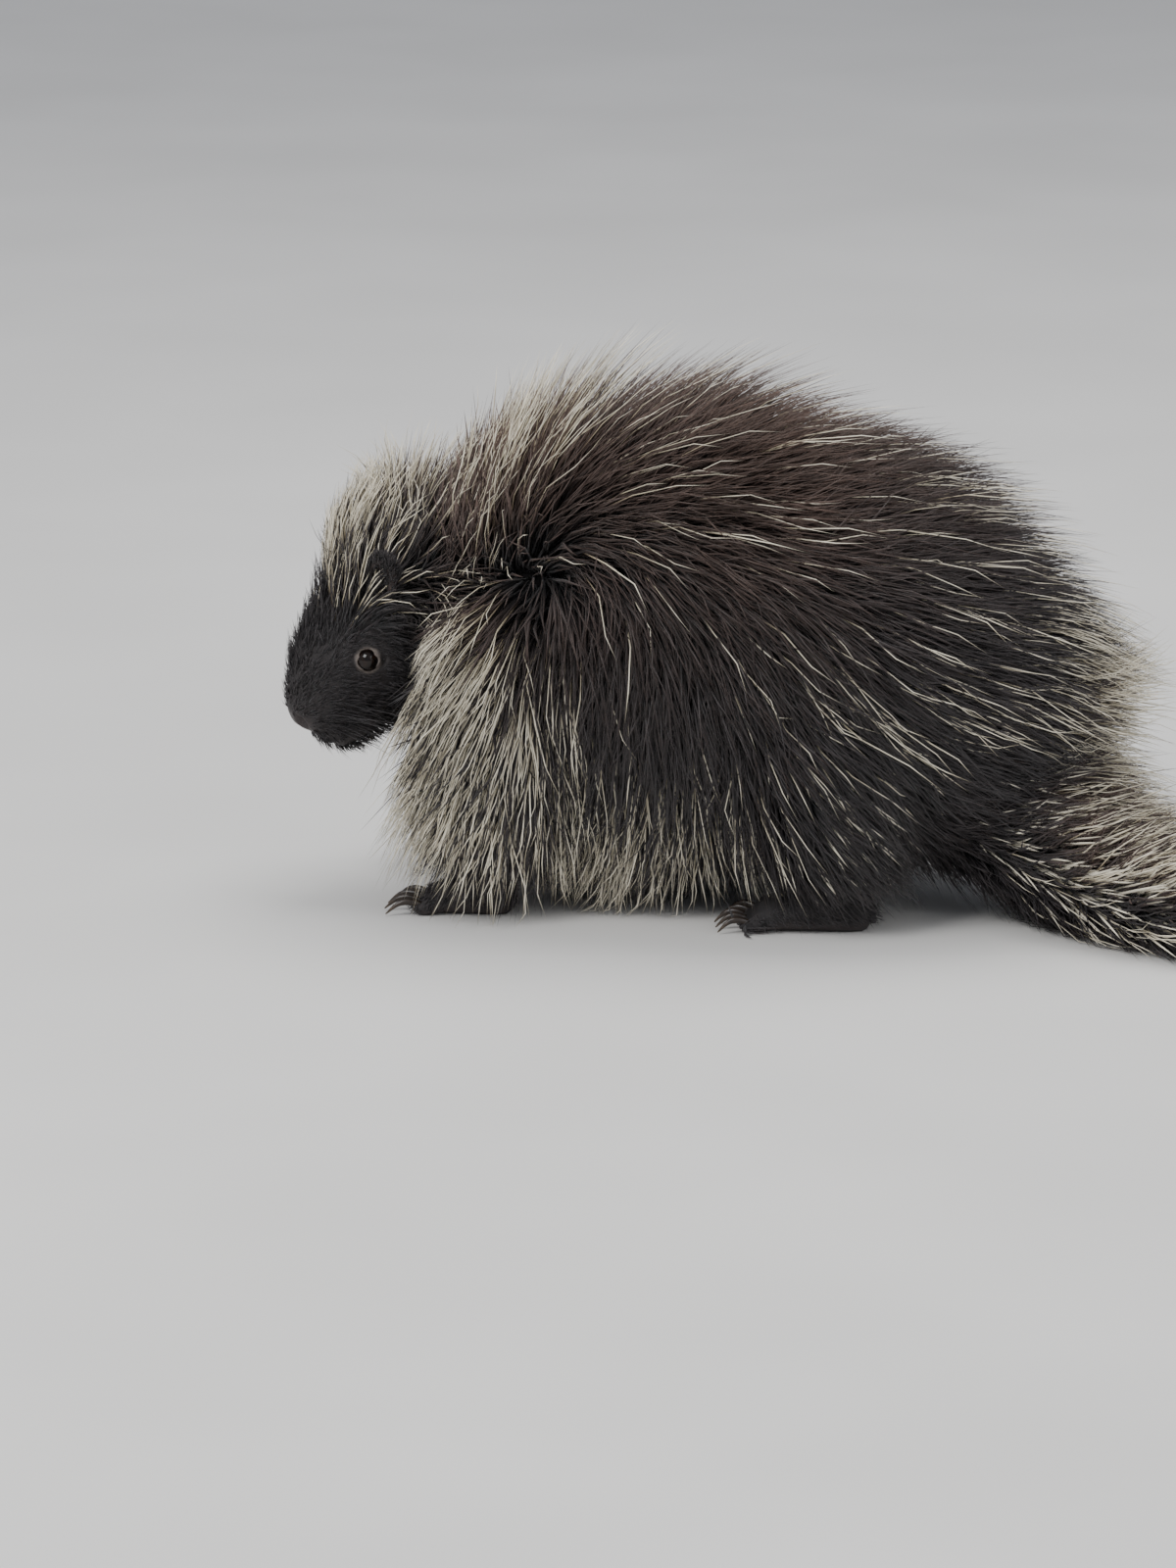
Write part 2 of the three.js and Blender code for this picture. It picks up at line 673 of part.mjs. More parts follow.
for (const side of SIDES) {
  const name = SIDE_NAME[side];
  nodes.set(`ear_${name}`, [placed(ear(side), headMatrix), "skin"]);
  nodes.set(`eye_${name}`, [placed(eyeball(side), headMatrix), "eye"]);
  for (const [leg, rows, paw] of [["foreleg", FORELEG_ROWS, FORE_PAW], ["hindleg", HINDLEG_ROWS, HIND_PAW]]) {
    const loft = legLoft(rows, side);
    const upper = solidOf(loft.geometry(7, 10, CORE_SHARE));
    const whole = union([upper, pawRaw(paw, side, 0)]).trimByPlane(SOLE, 0);
    nodes.set(`${leg}_${name}`, [largest(whole.subtract(bodyGrown)), "fur"]);
    for (let i = 0; i < paw.toes; i += 1) {
      nodes.set(`claw_${leg}_${name}_${i + 1}`, [claw(paw, side, i), "claw"]);
    }
  }
}

// Where each node carries locks
const onTorso = new Surface(torsoLoft);
const onHead = new Surface(headLoft, headMatrix);
const tailSide = (p) => p.clone().sub(TAIL_PLANE_AT).dot(TAIL_PLANE_NORMAL);
const headSide = (p) => p.clone().sub(HEAD_AT).dot(headU);
const coats = [
  {
    node: "torso",
    on: [onTorso],
    spacing: 29,
    width: 27,
    thick: 7,
    belongs: (p) => p.x > NECK_PLANE_X + 4 && tailSide(p) < -4,
  },
  {
    node: "neck",
    on: [new Surface(neckLoft), onTorso],
    spacing: 25,
    width: 23,
    thick: 6,
    belongs: (p) => p.x < NECK_PLANE_X - 4,
  },
  {
    node: "head",
    on: [onHead],
    spacing: 22,
    width: 15,
    thick: 4,
    belongs: (p) => headSide(p) > HEAD_FROM + 2 && headSide(p) < 44,
  },
  {
    node: "tail",
    on: [new Surface(tailLoft)],
    spacing: 22,
    width: 15,
    thick: 6,
    belongs: (p) => tailSide(p) > 4 && p.z > 12,
  },
];
for (const side of SIDES) {
  for (const [leg, rows] of [["foreleg", FORELEG_ROWS], ["hindleg", HINDLEG_ROWS]]) {
    coats.push({
      node: `${leg}_${SIDE_NAME[side]}`,
      on: [new Surface(legLoft(rows, side))],
      spacing: 33,
      width: 24,
      thick: 6,
      belongs: (p) => p.z > 28 && p.z < 105,
    });
  }
}

const solidsIn = new Map();
for (const [name, [solid]] of nodes) {
  solidsIn.set(name, [{ solid, box: solid.boundingBox() }]);
}
const random = randomFrom(LOCK_SEED);
coats.sort((a, b) => NODE_ORDER.indexOf(a.node.split("_")[0]) - NODE_ORDER.indexOf(b.node.split("_")[0]));
for (const coat of coats) {
  const own = nodes.get(coat.node);
  const others = [...solidsIn].filter(([name]) => name !== coat.node).flatMap(([, solids]) => solids);
  const locks = locksOf(coat, own[0], others, random);
  locks.forEach((solid) => solidsIn.get(coat.node).push({ solid, box: solid.boundingBox() }));
  own[0] = largest(union([own[0], ...locks]));
}

// The origin at the middle of the base
const bounds = new THREE.Box3();
for (const [solid] of nodes.values()) {
  const { min, max } = solid.boundingBox();
  bounds.expandByPoint(new THREE.Vector3(...min));
  bounds.expandByPoint(new THREE.Vector3(...max));
}
const middle = bounds.getCenter(new THREE.Vector3());
const animal = new THREE.Group();
animal.name = "porcupine";
animal.position.set(-middle.x, -middle.y, -bounds.min.z);
for (const [name, [solid, material]] of nodes) {
  const mesh = new THREE.Mesh(geometryOf(solid), MATERIALS[material]);
  mesh.name = name;
  animal.add(mesh);
}
const group = new THREE.Group();
group.add(animal);
export default group;
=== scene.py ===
import math

import bmesh
import bpy
import numpy as np
from mathutils import Matrix, Vector
from mathutils.bvhtree import BVHTree
from mathutils.kdtree import KDTree
from numpy.linalg import norm


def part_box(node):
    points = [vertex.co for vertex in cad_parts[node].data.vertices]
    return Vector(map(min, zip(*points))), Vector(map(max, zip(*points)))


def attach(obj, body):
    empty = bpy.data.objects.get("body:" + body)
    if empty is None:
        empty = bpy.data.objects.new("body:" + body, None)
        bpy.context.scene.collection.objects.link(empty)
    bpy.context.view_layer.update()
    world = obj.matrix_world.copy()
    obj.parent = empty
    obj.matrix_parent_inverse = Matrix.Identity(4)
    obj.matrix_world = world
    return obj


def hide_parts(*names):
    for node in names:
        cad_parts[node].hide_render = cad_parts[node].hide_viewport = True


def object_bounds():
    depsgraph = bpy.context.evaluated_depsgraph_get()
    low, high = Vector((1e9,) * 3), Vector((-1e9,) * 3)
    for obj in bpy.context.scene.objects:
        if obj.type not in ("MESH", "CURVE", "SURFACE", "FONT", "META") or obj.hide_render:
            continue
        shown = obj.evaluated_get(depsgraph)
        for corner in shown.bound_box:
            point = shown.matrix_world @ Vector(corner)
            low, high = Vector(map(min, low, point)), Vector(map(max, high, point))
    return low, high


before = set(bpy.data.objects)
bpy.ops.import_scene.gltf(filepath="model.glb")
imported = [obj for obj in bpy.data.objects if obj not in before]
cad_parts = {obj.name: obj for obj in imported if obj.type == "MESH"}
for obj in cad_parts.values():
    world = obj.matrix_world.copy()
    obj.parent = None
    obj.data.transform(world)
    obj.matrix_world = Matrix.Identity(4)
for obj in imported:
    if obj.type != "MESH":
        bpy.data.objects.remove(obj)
CAD_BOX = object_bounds()
SEED = 7

# The animal's own measures are in millimetres, in the frame that the solids are built in:
# head towards -X, left side towards -Y, floor at Z = 0. SHIFT_MM takes them to the part's frame.
MM = 0.001
CORE_SHARE = 0.45
SIDES = (-1, 1)
SIDE_NAME = {-1: "left", 1: "right"}

# Rows of a loft: axis x, y, z, half width, height above and depth below the axis,
# then the coat's depth above, at the side and below.
TORSO_ROWS = [
    (-135, 0, 160, 42, 52, 52, 40, 26, 16),
    (-95, 0, 164, 68, 86, 86, 46, 28, 14),
    (-40, 0, 160, 86, 112, 100, 50, 28, 12),
    (30, 0, 155, 95, 120, 100, 50, 28, 12),
    (95, 0, 140, 98, 110, 88, 50, 28, 12),
    (150, 0, 118, 84, 84, 70, 46, 26, 14),
    (192, 0, 98, 56, 58, 50, 38, 24, 14),
]
NECK_ROWS = [
    (-80, 0, 176, 54, 66, 70, 46, 26, 16),
    (-115, 0, 188, 50, 56, 62, 46, 24, 16),
    (-145, -2, 196, 38, 42, 48, 30, 16, 12),
]
TAIL_ROWS = [
    (178, 0, 82, 46, 38, 40, 20, 20, 10),
    (215, -16, 58, 38, 32, 34, 20, 22, 8),
    (258, -44, 37, 32, 26, 33, 18, 24, 6),
    (306, -78, 27, 28, 22, 26, 16, 24, 5),
    (348, -108, 21, 22, 17, 21, 14, 22, 4),
]
HEAD_AT = Vector((-158, 0, 200))
HEAD_PITCH = math.radians(42)
HEAD_YAW = math.radians(30)
HEAD_ROWS = [
    (4, 0, 0, 36, 38, 44, 28, 14, 16),
    (34, 0, -4, 39, 42, 50, 24, 10, 16),
    (64, 0, -10, 35, 42, 46, 10, 3, 14),
    (88, 0, -15, 27, 37, 36, 5, 3, 10),
    (108, 0, -19, 21, 26, 26, 2, 2, 6),
]
FORELEG_ROWS = [
    (-98, 52, 150, 26, 36, 32, 14, 12, 12),
    (-96, 64, 108, 24, 32, 30, 14, 12, 12),
    (-100, 68, 66, 19, 24, 23, 12, 10, 10),
    (-110, 68, 30, 16, 19, 18, 8, 6, 6),
]
HINDLEG_ROWS = [
    (112, 62, 130, 34, 52, 44, 16, 14, 12),
    (102, 76, 92, 32, 46, 40, 16, 14, 12),
    (106, 80, 56, 24, 32, 28, 12, 10, 10),
    (114, 80, 30, 17, 22, 17, 8, 6, 6),
]
LEG_DOMES = (16, 14)
FORE_PAW = {
    "rows": [
        (-100, 68, 12, 15, 14, 16, 3, 3, 0),
        (-122, 69, 12, 17, 12, 14, 3, 3, 0),
        (-142, 70, 10, 17, 8, 12, 2, 2, 0),
    ],
    "domes": (8, 6),
    "toe_x": -150,
    "toe_y": 70,
    "toes": 4,
    "step": 9.6,
    "size": (11, 5, 5.4),
    "fan": 0.16,
    "claw": 21,
}
HIND_PAW = {
    "rows": [
        (126, 79, 13, 15, 15, 16, 3, 3, 0),
        (98, 80, 13, 19, 14, 15, 3, 3, 0),
        (66, 81, 10, 20, 9, 12, 2, 2, 0),
    ],
    "domes": (9, 6),
    "toe_x": 57,
    "toe_y": 81,
    "toes": 5,
    "step": 9.2,
    "size": (11, 4.8, 5.2),
    "fan": 0.13,
    "claw": 18,
}
TOE_Z = 4.6
TOE_BACK = 2.2
CLAW_RADIUS = 2.4
CLAW_TIP_Z = 1.8

EYE_S = 0.52
EYE_ANGLE = math.radians(72)
EYE_TILT = math.radians(30)
EYE_RADIUS = 7.5
EYE_SUNK = 3.8
LID_OPENING = (6.6, 4.2)
NOSTRIL_AT = (124, 6.5, -8)
MOUTH_W = -33
MOUTH_W_AT = 108
MOUTH_SLOPE = 0.10
MOUTH_FROM = 90
EAR_S = 0.26
EAR_ANGLE = math.radians(46)
EAR_GROWS = (-0.5, 0.55, 0.66)
EAR_FACES = (0.8, 0.45, 0.55)

# The lie of the coat: place x, z, the way the hair points x, z, its length,
# how far its tip stands out in shares of the coat's depth, and how freely it leaves the body
LIE = np.array([
    (-225, 175, 0.3, 1, 24, 1.0, 0),
    (-222, 215, -0.3, 1, 50, 1.7, 0.8),
    (-195, 238, 0.0, 1, 58, 1.6, 0.75),
    (-175, 150, 1, -0.1, 22, 1.0, 0.1),
    (-142, 190, 0.5, -0.5, 24, 1.0, 0.1),
    (-165, 255, 0.45, 0.9, 70, 1.4, 0.7),
    (-105, 285, 0.42, 0.9, 132, 1.7, 0.9),
    (-70, 305, 0.5, 0.86, 100, 1.6, 0.8),
    (-30, 320, 0.8, 0.6, 82, 1.3, 0.6),
    (40, 320, 0.9, 0.45, 80, 1.25, 0.5),
    (130, 260, 0.95, 0.15, 80, 1.2, 0.5),
    (225, 160, 1, -0.1, 78, 1.5, 0.75),
    (225, 85, 0.95, -0.35, 60, 1.3, 0.5),
    (-132, 232, 0.35, 0.93, 58, 1.4, 0.6),
    (-112, 240, 0.4, 0.9, 70, 1.4, 0.7),
    (-100, 184, -0.45, -0.9, 70, 1.25, 0.4),
    (-116, 128, -0.28, -0.96, 88, 1.3, 0.55),
    (-140, 60, -0.25, -0.95, 62, 1.2, 0.5),
    (-50, 240, 0.8, -0.1, 72, 1.15, 0.25),
    (-40, 195, 0.35, -0.9, 70, 1.05, 0.1),
    (40, 235, 0.75, -0.5, 72, 1.05, 0.1),
    (-20, 150, 0, -1, 72, 1.1, 0.3),
    (-15, 70, -0.25, -0.97, 76, 1.3, 0.9),
    (80, 160, 0.6, -0.8, 68, 1.1, 0.2),
    (110, 80, 0.6, -0.75, 52, 1.3, 0.4),
    (170, 110, 0.85, -0.4, 60, 1.2, 0.3),
    (200, 50, 1, 0, 50, 1.2, 0.3),
    (320, 40, 1, 0.1, 52, 1.2, 0.3),
], float)
LIE_REACH = 28
FREE_OUT = 0.4
FLOOR_CLEAR = 1.5

# Camera: the photograph's angle. Pixel (600, 800) of its 1200 x 1600 looks at TARGET_MM.
CAMERA_AZIMUTH = math.radians(8)
CAMERA_ELEVATION = math.radians(14)
CAMERA_DISTANCE = 5.0
TARGET_MM = Vector((-56, 0, 67))
MM_PER_PIXEL = 0.62
PHOTO_HEIGHT = 1600
SENSOR_MM = 36


class Loft:
    """A body part with a bent axis and oval rings, closed by a dome at each end. Angle 0 is towards ref."""

    def __init__(self, rows, domes, ref=(0, 0, 1), dome_share=0.12):
        self.rows = np.array(rows, float)
        self.domes = domes
        self.ref = np.array(ref, float)
        self.dome_share = dome_share

    def row_at(self, s):
        rows = self.rows
        t = s * (len(rows) - 1)
        i = min(int(t), len(rows) - 2)
        f = t - i
        a, b, c, d = (rows[min(max(i + k, 0), len(rows) - 1)] for k in (-1, 0, 1, 2))
        slope_in = (c - a) / 2
        slope_out = (d - b) / 2
        cube = 2 * b - 2 * c + slope_in + slope_out
        square = 3 * (c - b) - 2 * slope_in - slope_out
        return ((cube * f + square) * f + slope_in) * f + b

    def frame_at(self, s):
        row = self.row_at(s)
        along = self.row_at(min(s + 0.01, 1))[:3] - self.row_at(max(s - 0.01, 0))[:3]
        along /= norm(along)
        side = np.cross(along, self.ref)
        side /= norm(side)
        return row[:3], along, side, np.cross(side, along), row[3:]

    def point(self, s, angle, share=0.0):
        e = self.dome_share
        centre, along, side, up, sizes = self.frame_at(min(max((s - e) / (1 - 2 * e), 0), 1))
        turn = max(e - s, s - (1 - e), 0) / e * math.pi / 2
        c = math.cos(angle)
        high = sizes[1] if c > 0 else sizes[2]
        end = sizes[3] if c > 0 else sizes[5]
        out = (sizes[4] + (end - sizes[4]) * c * c) * share
        ring = side * sizes[0] * math.sin(angle) + up * high * c
        away = side * math.sin(angle) / sizes[0] + up * c / high
        ring = (ring + away / norm(away) * out) * math.cos(turn)
        reach = (self.domes[1 if s >= e else 0] + sizes[4] * share) * math.sin(turn)
        return centre + ring + along * (reach if s >= e else -reach)

    def normal(self, s, angle, share=0.0):
        lengthwise = self.point(s + 0.01, angle, share) - self.point(s - 0.01, angle, share)
        around = self.point(s, angle + 0.05, share) - self.point(s, angle - 0.05, share)
        out = np.cross(around, lengthwise)
        return out / norm(out)

    def mesh(self, rings, around, matrix=Matrix.Identity(4)):
        points = [self.point(0, 0)]
        for i in range(1, rings + 1):
            points += [self.point(i / (rings + 1), k / around * 2 * math.pi) for k in range(around)]
        points.append(self.point(1, 0))
        last = len(points) - 1
        faces = []
        for k in range(around):
            n = (k + 1) % around
            faces.append((0, 1 + n, 1 + k))
            faces.append((last, 1 + (rings - 1) * around + k, 1 + (rings - 1) * around + n))
            for r in range(rings - 1):
                low = 1 + r * around
                faces.append((low + k, low + n, low + around + n, low + around + k))
        return [matrix @ Vector(p) for p in points], faces


def frame_of(x, y, z, at):
    matrix = Matrix((x, y, z)).transposed().to_4x4()
    matrix.translation = at
    return matrix


def head_matrix():
    level = math.cos(HEAD_PITCH)
    u = Vector((-level * math.cos(HEAD_YAW), -level * math.sin(HEAD_YAW), -math.sin(HEAD_PITCH)))
    v = Vector((math.sin(HEAD_YAW), -math.cos(HEAD_YAW), 0))
    return frame_of(u, v, u.cross(v), HEAD_AT)


HEAD = head_matrix()
HEAD_TURN = np.array(HEAD)[:3, :3]
HEAD_LOFT = Loft(HEAD_ROWS, (30, 14))


def body_loft(rows, domes, side=1, ref=(0, 0, 1)):
    return Loft([(row[0], row[1] * side, *row[2:]) for row in rows], domes, ref), Matrix.Identity(4)


LOFTS = {
    "torso": body_loft(TORSO_ROWS, (26, 26)),
    "neck": body_loft(NECK_ROWS, (20, 12)),
    "head": (HEAD_LOFT, HEAD),
    "tail": body_loft(TAIL_ROWS, (20, 24)),
}
for side, name in SIDE_NAME.items():
    LOFTS["foreleg_" + name] = body_loft(FORELEG_ROWS, LEG_DOMES, side, (-1, 0, 0))
    LOFTS["hindleg_" + name] = body_loft(HINDLEG_ROWS, LEG_DOMES, side, (-1, 0, 0))
    LOFTS["foreleg_paw_" + name] = body_loft(FORE_PAW["rows"], FORE_PAW["domes"], side)
    LOFTS["hindleg_paw_" + name] = body_loft(HIND_PAW["rows"], HIND_PAW["domes"], side)


def eye_on(side):
    """The eye's place on one side of the head, in the head's own frame."""
    angle = EYE_ANGLE * side
    surface = Vector(HEAD_LOFT.point(EYE_S, angle, CORE_SHARE))
    out = Vector(HEAD_LOFT.normal(EYE_S, angle, CORE_SHARE))
    long = Vector((math.cos(EYE_TILT), 0, math.sin(EYE_TILT)))
    long = (long - out * long.dot(out)).normalized()
    return surface, out, long, surface - out * EYE_SUNK


def shift_mm():
    """The way from the animal's frame to the part's, read off the left eye's solid."""
    low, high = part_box("eye_left")
    middle = (Vector(low) + Vector(high)) / 2
    return np.array(middle / MM - HEAD @ eye_on(-1)[3])


SHIFT_MM = shift_mm()


def to_part(points):
    """Millimetres of the animal's frame to metres of the part's frame."""
    return (np.asarray(points, float) + SHIFT_MM) * MM


def to_animal(points):
    """Metres of the part's frame to millimetres of the animal's frame."""
    return np.asarray(points, float) / MM - SHIFT_MM


def linked(name, data):
    obj = bpy.data.objects.new(name, data)
    bpy.context.scene.collection.objects.link(obj)
    return obj


def new_object(name, points, faces):
    mesh = bpy.data.meshes.new(name)
    mesh.from_pydata([tuple(p) for p in to_part(points)], [], faces)
    mesh.update()
    mesh.shade_smooth()
    return linked(name, mesh)


def paint(mesh, name, channels):
    """A colour attribute with a list of values for each of its first channels."""
    colours = np.ones((len(mesh.vertices), 4), np.float32)
    for k, values in enumerate(channels):
        colours[:, k] = values
    attribute = mesh.attributes.new(name, "FLOAT_COLOR", "POINT")
    attribute.data.foreach_set("color", colours.ravel())


def toe_at(paw, side, i):
    off = i - (paw["toes"] - 1) / 2
    turn = off * paw["fan"]
    at = Vector((paw["toe_x"] + abs(off) * TOE_BACK, side * (paw["toe_y"] + off * paw["step"]), TOE_Z))
    return at, Vector((-math.cos(turn), side * math.sin(turn), 0))


def ellipsoid(matrix, size, columns=16, rows=10):
    """Points and faces of a ball, the faces sorted because their order changes from run to run."""
    made = bmesh.new()
    scale = Matrix.Diagonal((*size, 1))
    bmesh.ops.create_uvsphere(made, u_segments=columns, v_segments=rows, radius=1, matrix=scale)
    made.verts.ensure_lookup_table()
    points = [matrix @ v.co for v in made.verts]
    faces = sorted(tuple(v.index for v in f.verts) for f in made.faces)
    made.free()
    return points, faces


# The skin: one surface over every part of the body, remeshed from the lofts
SKIN_VOXEL = 0.0034
SKIN_SMOOTHING = 7
SKIN_CLEAR = 0.2
SHELL_RINGS = 22
SHELL_AROUND = 28
FACE_FROM_U = 44
FACE_FROM_W = -62
FACE_TO_X = -150


def basis(x, z, at):
    """A frame with its x axis along x, its z axis near z, at a place."""
    x = Vector(x).normalized()
    y = Vector(z).cross(x).normalized()
    return frame_of(x, y, x.cross(y), at)


def body_shells():
    shells = [loft.mesh(SHELL_RINGS, SHELL_AROUND, matrix) for loft, matrix in LOFTS.values()]
    for side in SIDES:
        for paw in (FORE_PAW, HIND_PAW):
            for i in range(paw["toes"]):
                at, heading = toe_at(paw, side, i)
                shells.append(ellipsoid(basis(heading, (0, 0, 1), at), paw["size"]))
    return shells


def joined(shells):
    points, faces = [], []
    for some, their_faces in shells:
        base = len(points)
        points += list(some)
        faces += [tuple(base + i for i in face) for face in their_faces]
    return points, faces


def apply_modifiers(obj):
    depsgraph = bpy.context.evaluated_depsgraph_get()
    mesh = bpy.data.meshes.new_from_object(obj.evaluated_get(depsgraph))
    obj.modifiers.clear()
    obj.data = mesh


def smoothstep(x, low, high):
    t = np.clip((x - low) / (high - low), 0, 1)
    return t * t * (3 - 2 * t)


def unit(v):
    return v / (norm(v, axis=-1, keepdims=True) + 1e-12)


def of_vertices(mesh, what):
    flat = np.empty(len(mesh.vertices) * 3)
    mesh.vertices.foreach_get(what, flat)
    return flat.reshape(-1, 3)


def places_of(mesh):
    return to_animal(of_vertices(mesh, "co"))


def normals_of(mesh):
    return of_vertices(mesh, "normal")


def in_head(points):
    """Points in the head's own frame: u ahead, v to the left, w up."""
    inverse = np.array(HEAD.inverted())
    return points @ inverse[:3, :3].T + inverse[:3, 3]


def off_mouth(u, w):
    """How far above the line of the mouth a place is."""
    return w - MOUTH_W - MOUTH_SLOPE * (u - MOUTH_W_AT)


def hump(x, middle, reach):
    return np.exp(-(((x - middle) / reach) ** 2))


def refine_face(obj):
    """Splits the faces of the muzzle and round the eyes, finely enough for lids and nostrils."""
    for reach in (FACE_FROM_U, FACE_FROM_U + 6):
        made = bmesh.new()
        made.from_mesh(obj.data)
        places = places_of(obj.data)
        u, _, w = in_head(places).T
        chosen = (u > reach) & (w > FACE_FROM_W) & (places[:, 0] < FACE_TO_X)
        made.verts.ensure_lookup_table()
        edges = [e for e in made.edges if chosen[e.verts[0].index] and chosen[e.verts[1].index]]
        bmesh.ops.subdivide_edges(made, edges=edges, cuts=1, use_grid_fill=True, smooth=0.3)
        bmesh.ops.triangulate(made, faces=[f for f in made.faces if len(f.verts) > 4])
        made.to_mesh(obj.data)
        made.free()


def sculpt_face(places, normals):
    """Moves, in millimetres, that give the head its lids, nose, nostrils, mouth and brow."""
    local = in_head(places)
    u, v, w = local.T
    local_normals = normals @ HEAD_TURN
    move = np.zeros_like(local)
    on_face = smoothstep(u, FACE_FROM_U - 4, FACE_FROM_U + 8)
    for side in SIDES:
        surface, out, long, _ = (np.array(vector) for vector in eye_on(side))
        away = local - surface
        a, b, c = away @ long, away @ np.cross(out, long), away @ out
        ring = np.sqrt((a / LID_OPENING[0]) ** 2 + (b / LID_OPENING[1]) ** 2)
        near = np.abs(c) < 14
        swell = 1.6 * hump(ring, 0, 2.4)
        rim = 1.5 * hump(ring, 1.12, 0.24)
        crease = -0.9 * hump(ring, 1.75, 0.2)
        opening = -6.5 * smoothstep(0.98 - ring, 0, 0.3)
        move += (near * (swell + rim + crease + opening))[:, None] * out
        ahead, beside, above = NOSTRIL_AT
        pit = ((u - ahead) / 9) ** 2 + ((v - beside * side) / 2.4) ** 2 + ((w - above) / 3.4) ** 2
        move[:, 0] -= 4.2 * np.exp(-pit)
        wing = hump(np.sqrt(pit), 1.5, 0.5) * smoothstep(u, 108, 116)
        move += (0.9 * wing)[:, None] * local_normals
    front = smoothstep(u, 106, 118)
    pad_height = np.exp(-((v / 10) ** 2) - ((w + 8) / 8) ** 2)
    move[:, 0] += 3.0 * pad_height * front
    below_nose = smoothstep(-w, 8, 14)
    groove = hump(v, 0, 1.1) * below_nose * smoothstep(w, -33, -28)
    move[:, 0] -= 1.6 * groove * front
    off = off_mouth(u, w)
    along_mouth = smoothstep(u, MOUTH_FROM - 8, MOUTH_FROM + 6)
    lips = 1.5 * hump(np.abs(off), 3.6, 2.4) - 2.8 * hump(off, 0, 1.25)
    move += (lips * along_mouth)[:, None] * local_normals
    cheek = np.exp(-(((u - 52) / 18) ** 2) - ((w + 26) / 14) ** 2)
    move += (2.5 * cheek)[:, None] * local_normals
    bridge = hump(v, 0, 17) * smoothstep(u, 52, 84) * smoothstep(w, -16, 4)
    move += (7 * bridge)[:, None] * np.array((0.25, 0, 0.97))
    return (move * on_face[:, None]) @ HEAD_TURN.T


def make_skin():
    points, faces = joined(body_shells())
    skin = new_object("skin", points, faces)
    remesh = skin.modifiers.new("one surface", "REMESH")
    remesh.mode = "VOXEL"
    remesh.voxel_size = SKIN_VOXEL
    smooth = skin.modifiers.new("soften", "SMOOTH")
    smooth.factor = 0.5
    smooth.iterations = SKIN_SMOOTHING
    apply_modifiers(skin)
    refine_face(skin)
    mesh = skin.data
    places = places_of(mesh)
    places += sculpt_face(places, normals_of(mesh))
    places[:, 2] = np.maximum(places[:, 2], SKIN_CLEAR)
    mesh.vertices.foreach_set("co", to_part(places).ravel())
    mesh.update()
    mesh.shade_smooth()
    bpy.context.view_layer.objects.active = skin
    skin.select_set(True)
    bpy.ops.object.mode_set(mode="EDIT")
    bpy.ops.mesh.select_all(action="SELECT")
    bpy.ops.uv.smart_project(angle_limit=math.radians(66), island_margin=0.002)
    bpy.ops.object.mode_set(mode="OBJECT")
    skin.select_set(False)
    mesh.uv_layers[0].name = "OFBake"
    return skin


skin = make_skin()


# Coat: roots are taken from the skin's triangles, and each hair follows guides laid over the skin
def skin_triangles(mesh):
    mesh.calc_loop_triangles()
    count = len(mesh.loop_triangles)
    corners = np.empty(count * 3, np.int32)
    loops = np.empty(count * 3, np.int32)
    mesh.loop_triangles.foreach_get("vertices", corners)
    mesh.loop_triangles.foreach_get("loops", loops)
    flat = np.empty(len(mesh.loops) * 2)
    mesh.uv_layers["OFBake"].data.foreach_get("uv", flat)
    return corners.reshape(-1, 3), flat.reshape(-1, 2)[loops.reshape(-1, 3)]


class Roots:
    """Random places on the skin, with the way out of the skin and the place on its unwrap."""

    def __init__(self, mesh, count, rng):
        places, outs = places_of(mesh), normals_of(mesh)
        corners, uvs = skin_triangles(mesh)
        a, b, c = (places[corners[:, k]] for k in range(3))
        area = norm(np.cross(b - a, c - a), axis=1)
        chosen = rng.choice(len(corners), count, p=area / area.sum())
        r = np.sqrt(rng.random(count))
        t = rng.random(count)
        share = np.stack([1 - r, r * (1 - t), r * t], -1)
        self.at = np.einsum("nk,nkd->nd", share, places[corners[chosen]])
        out = np.einsum("nk,nkd->nd", share, outs[corners[chosen]])
        self.out = out / norm(out, axis=1, keepdims=True)
        self.uv = np.einsum("nk,nkd->nd", share, uvs[chosen])

    def taken(self, mask):
        some = object.__new__(Roots)
        some.at, some.out, some.uv = self.at[mask], self.out[mask], self.uv[mask]
        return some


AXIS_PLACES = 25


def axis_samples():
    """Places along every part's axis: the way up, size and coat's depths there, and the part's number."""
    rows = []
    for number, (loft, matrix) in enumerate(LOFTS.values()):
        turn = np.array(matrix)[:3, :3]
        for s in np.linspace(0, 1, AXIS_PLACES):
            centre, _, _, up, sizes = loft.frame_at(s)
            place = turn @ centre + np.array(matrix)[:3, 3]
            rows.append([*place, *(turn @ up), np.mean(sizes[:3]), *sizes[3:], number])
    return np.array(rows)


AXES = axis_samples()
PARTS = list(LOFTS)


def nearest_part(at, out):
    """The coat's depth at each place, and which part of the body it is on."""
    best = np.full(len(at), np.inf)
    index = np.zeros(len(at), int)
    for k, row in enumerate(AXES):
        far = norm(at - row[:3], axis=1) / row[6]
        closer = far < best
        best[closer] = far[closer]
        index[closer] = k
    rows = AXES[index]
    c = np.einsum("nd,nd->n", out, rows[:, 3:6])
    end = np.where(c > 0, rows[:, 7], rows[:, 9])
    return rows[:, 8] + (end - rows[:, 8]) * c * c, rows[:, 10].astype(int)


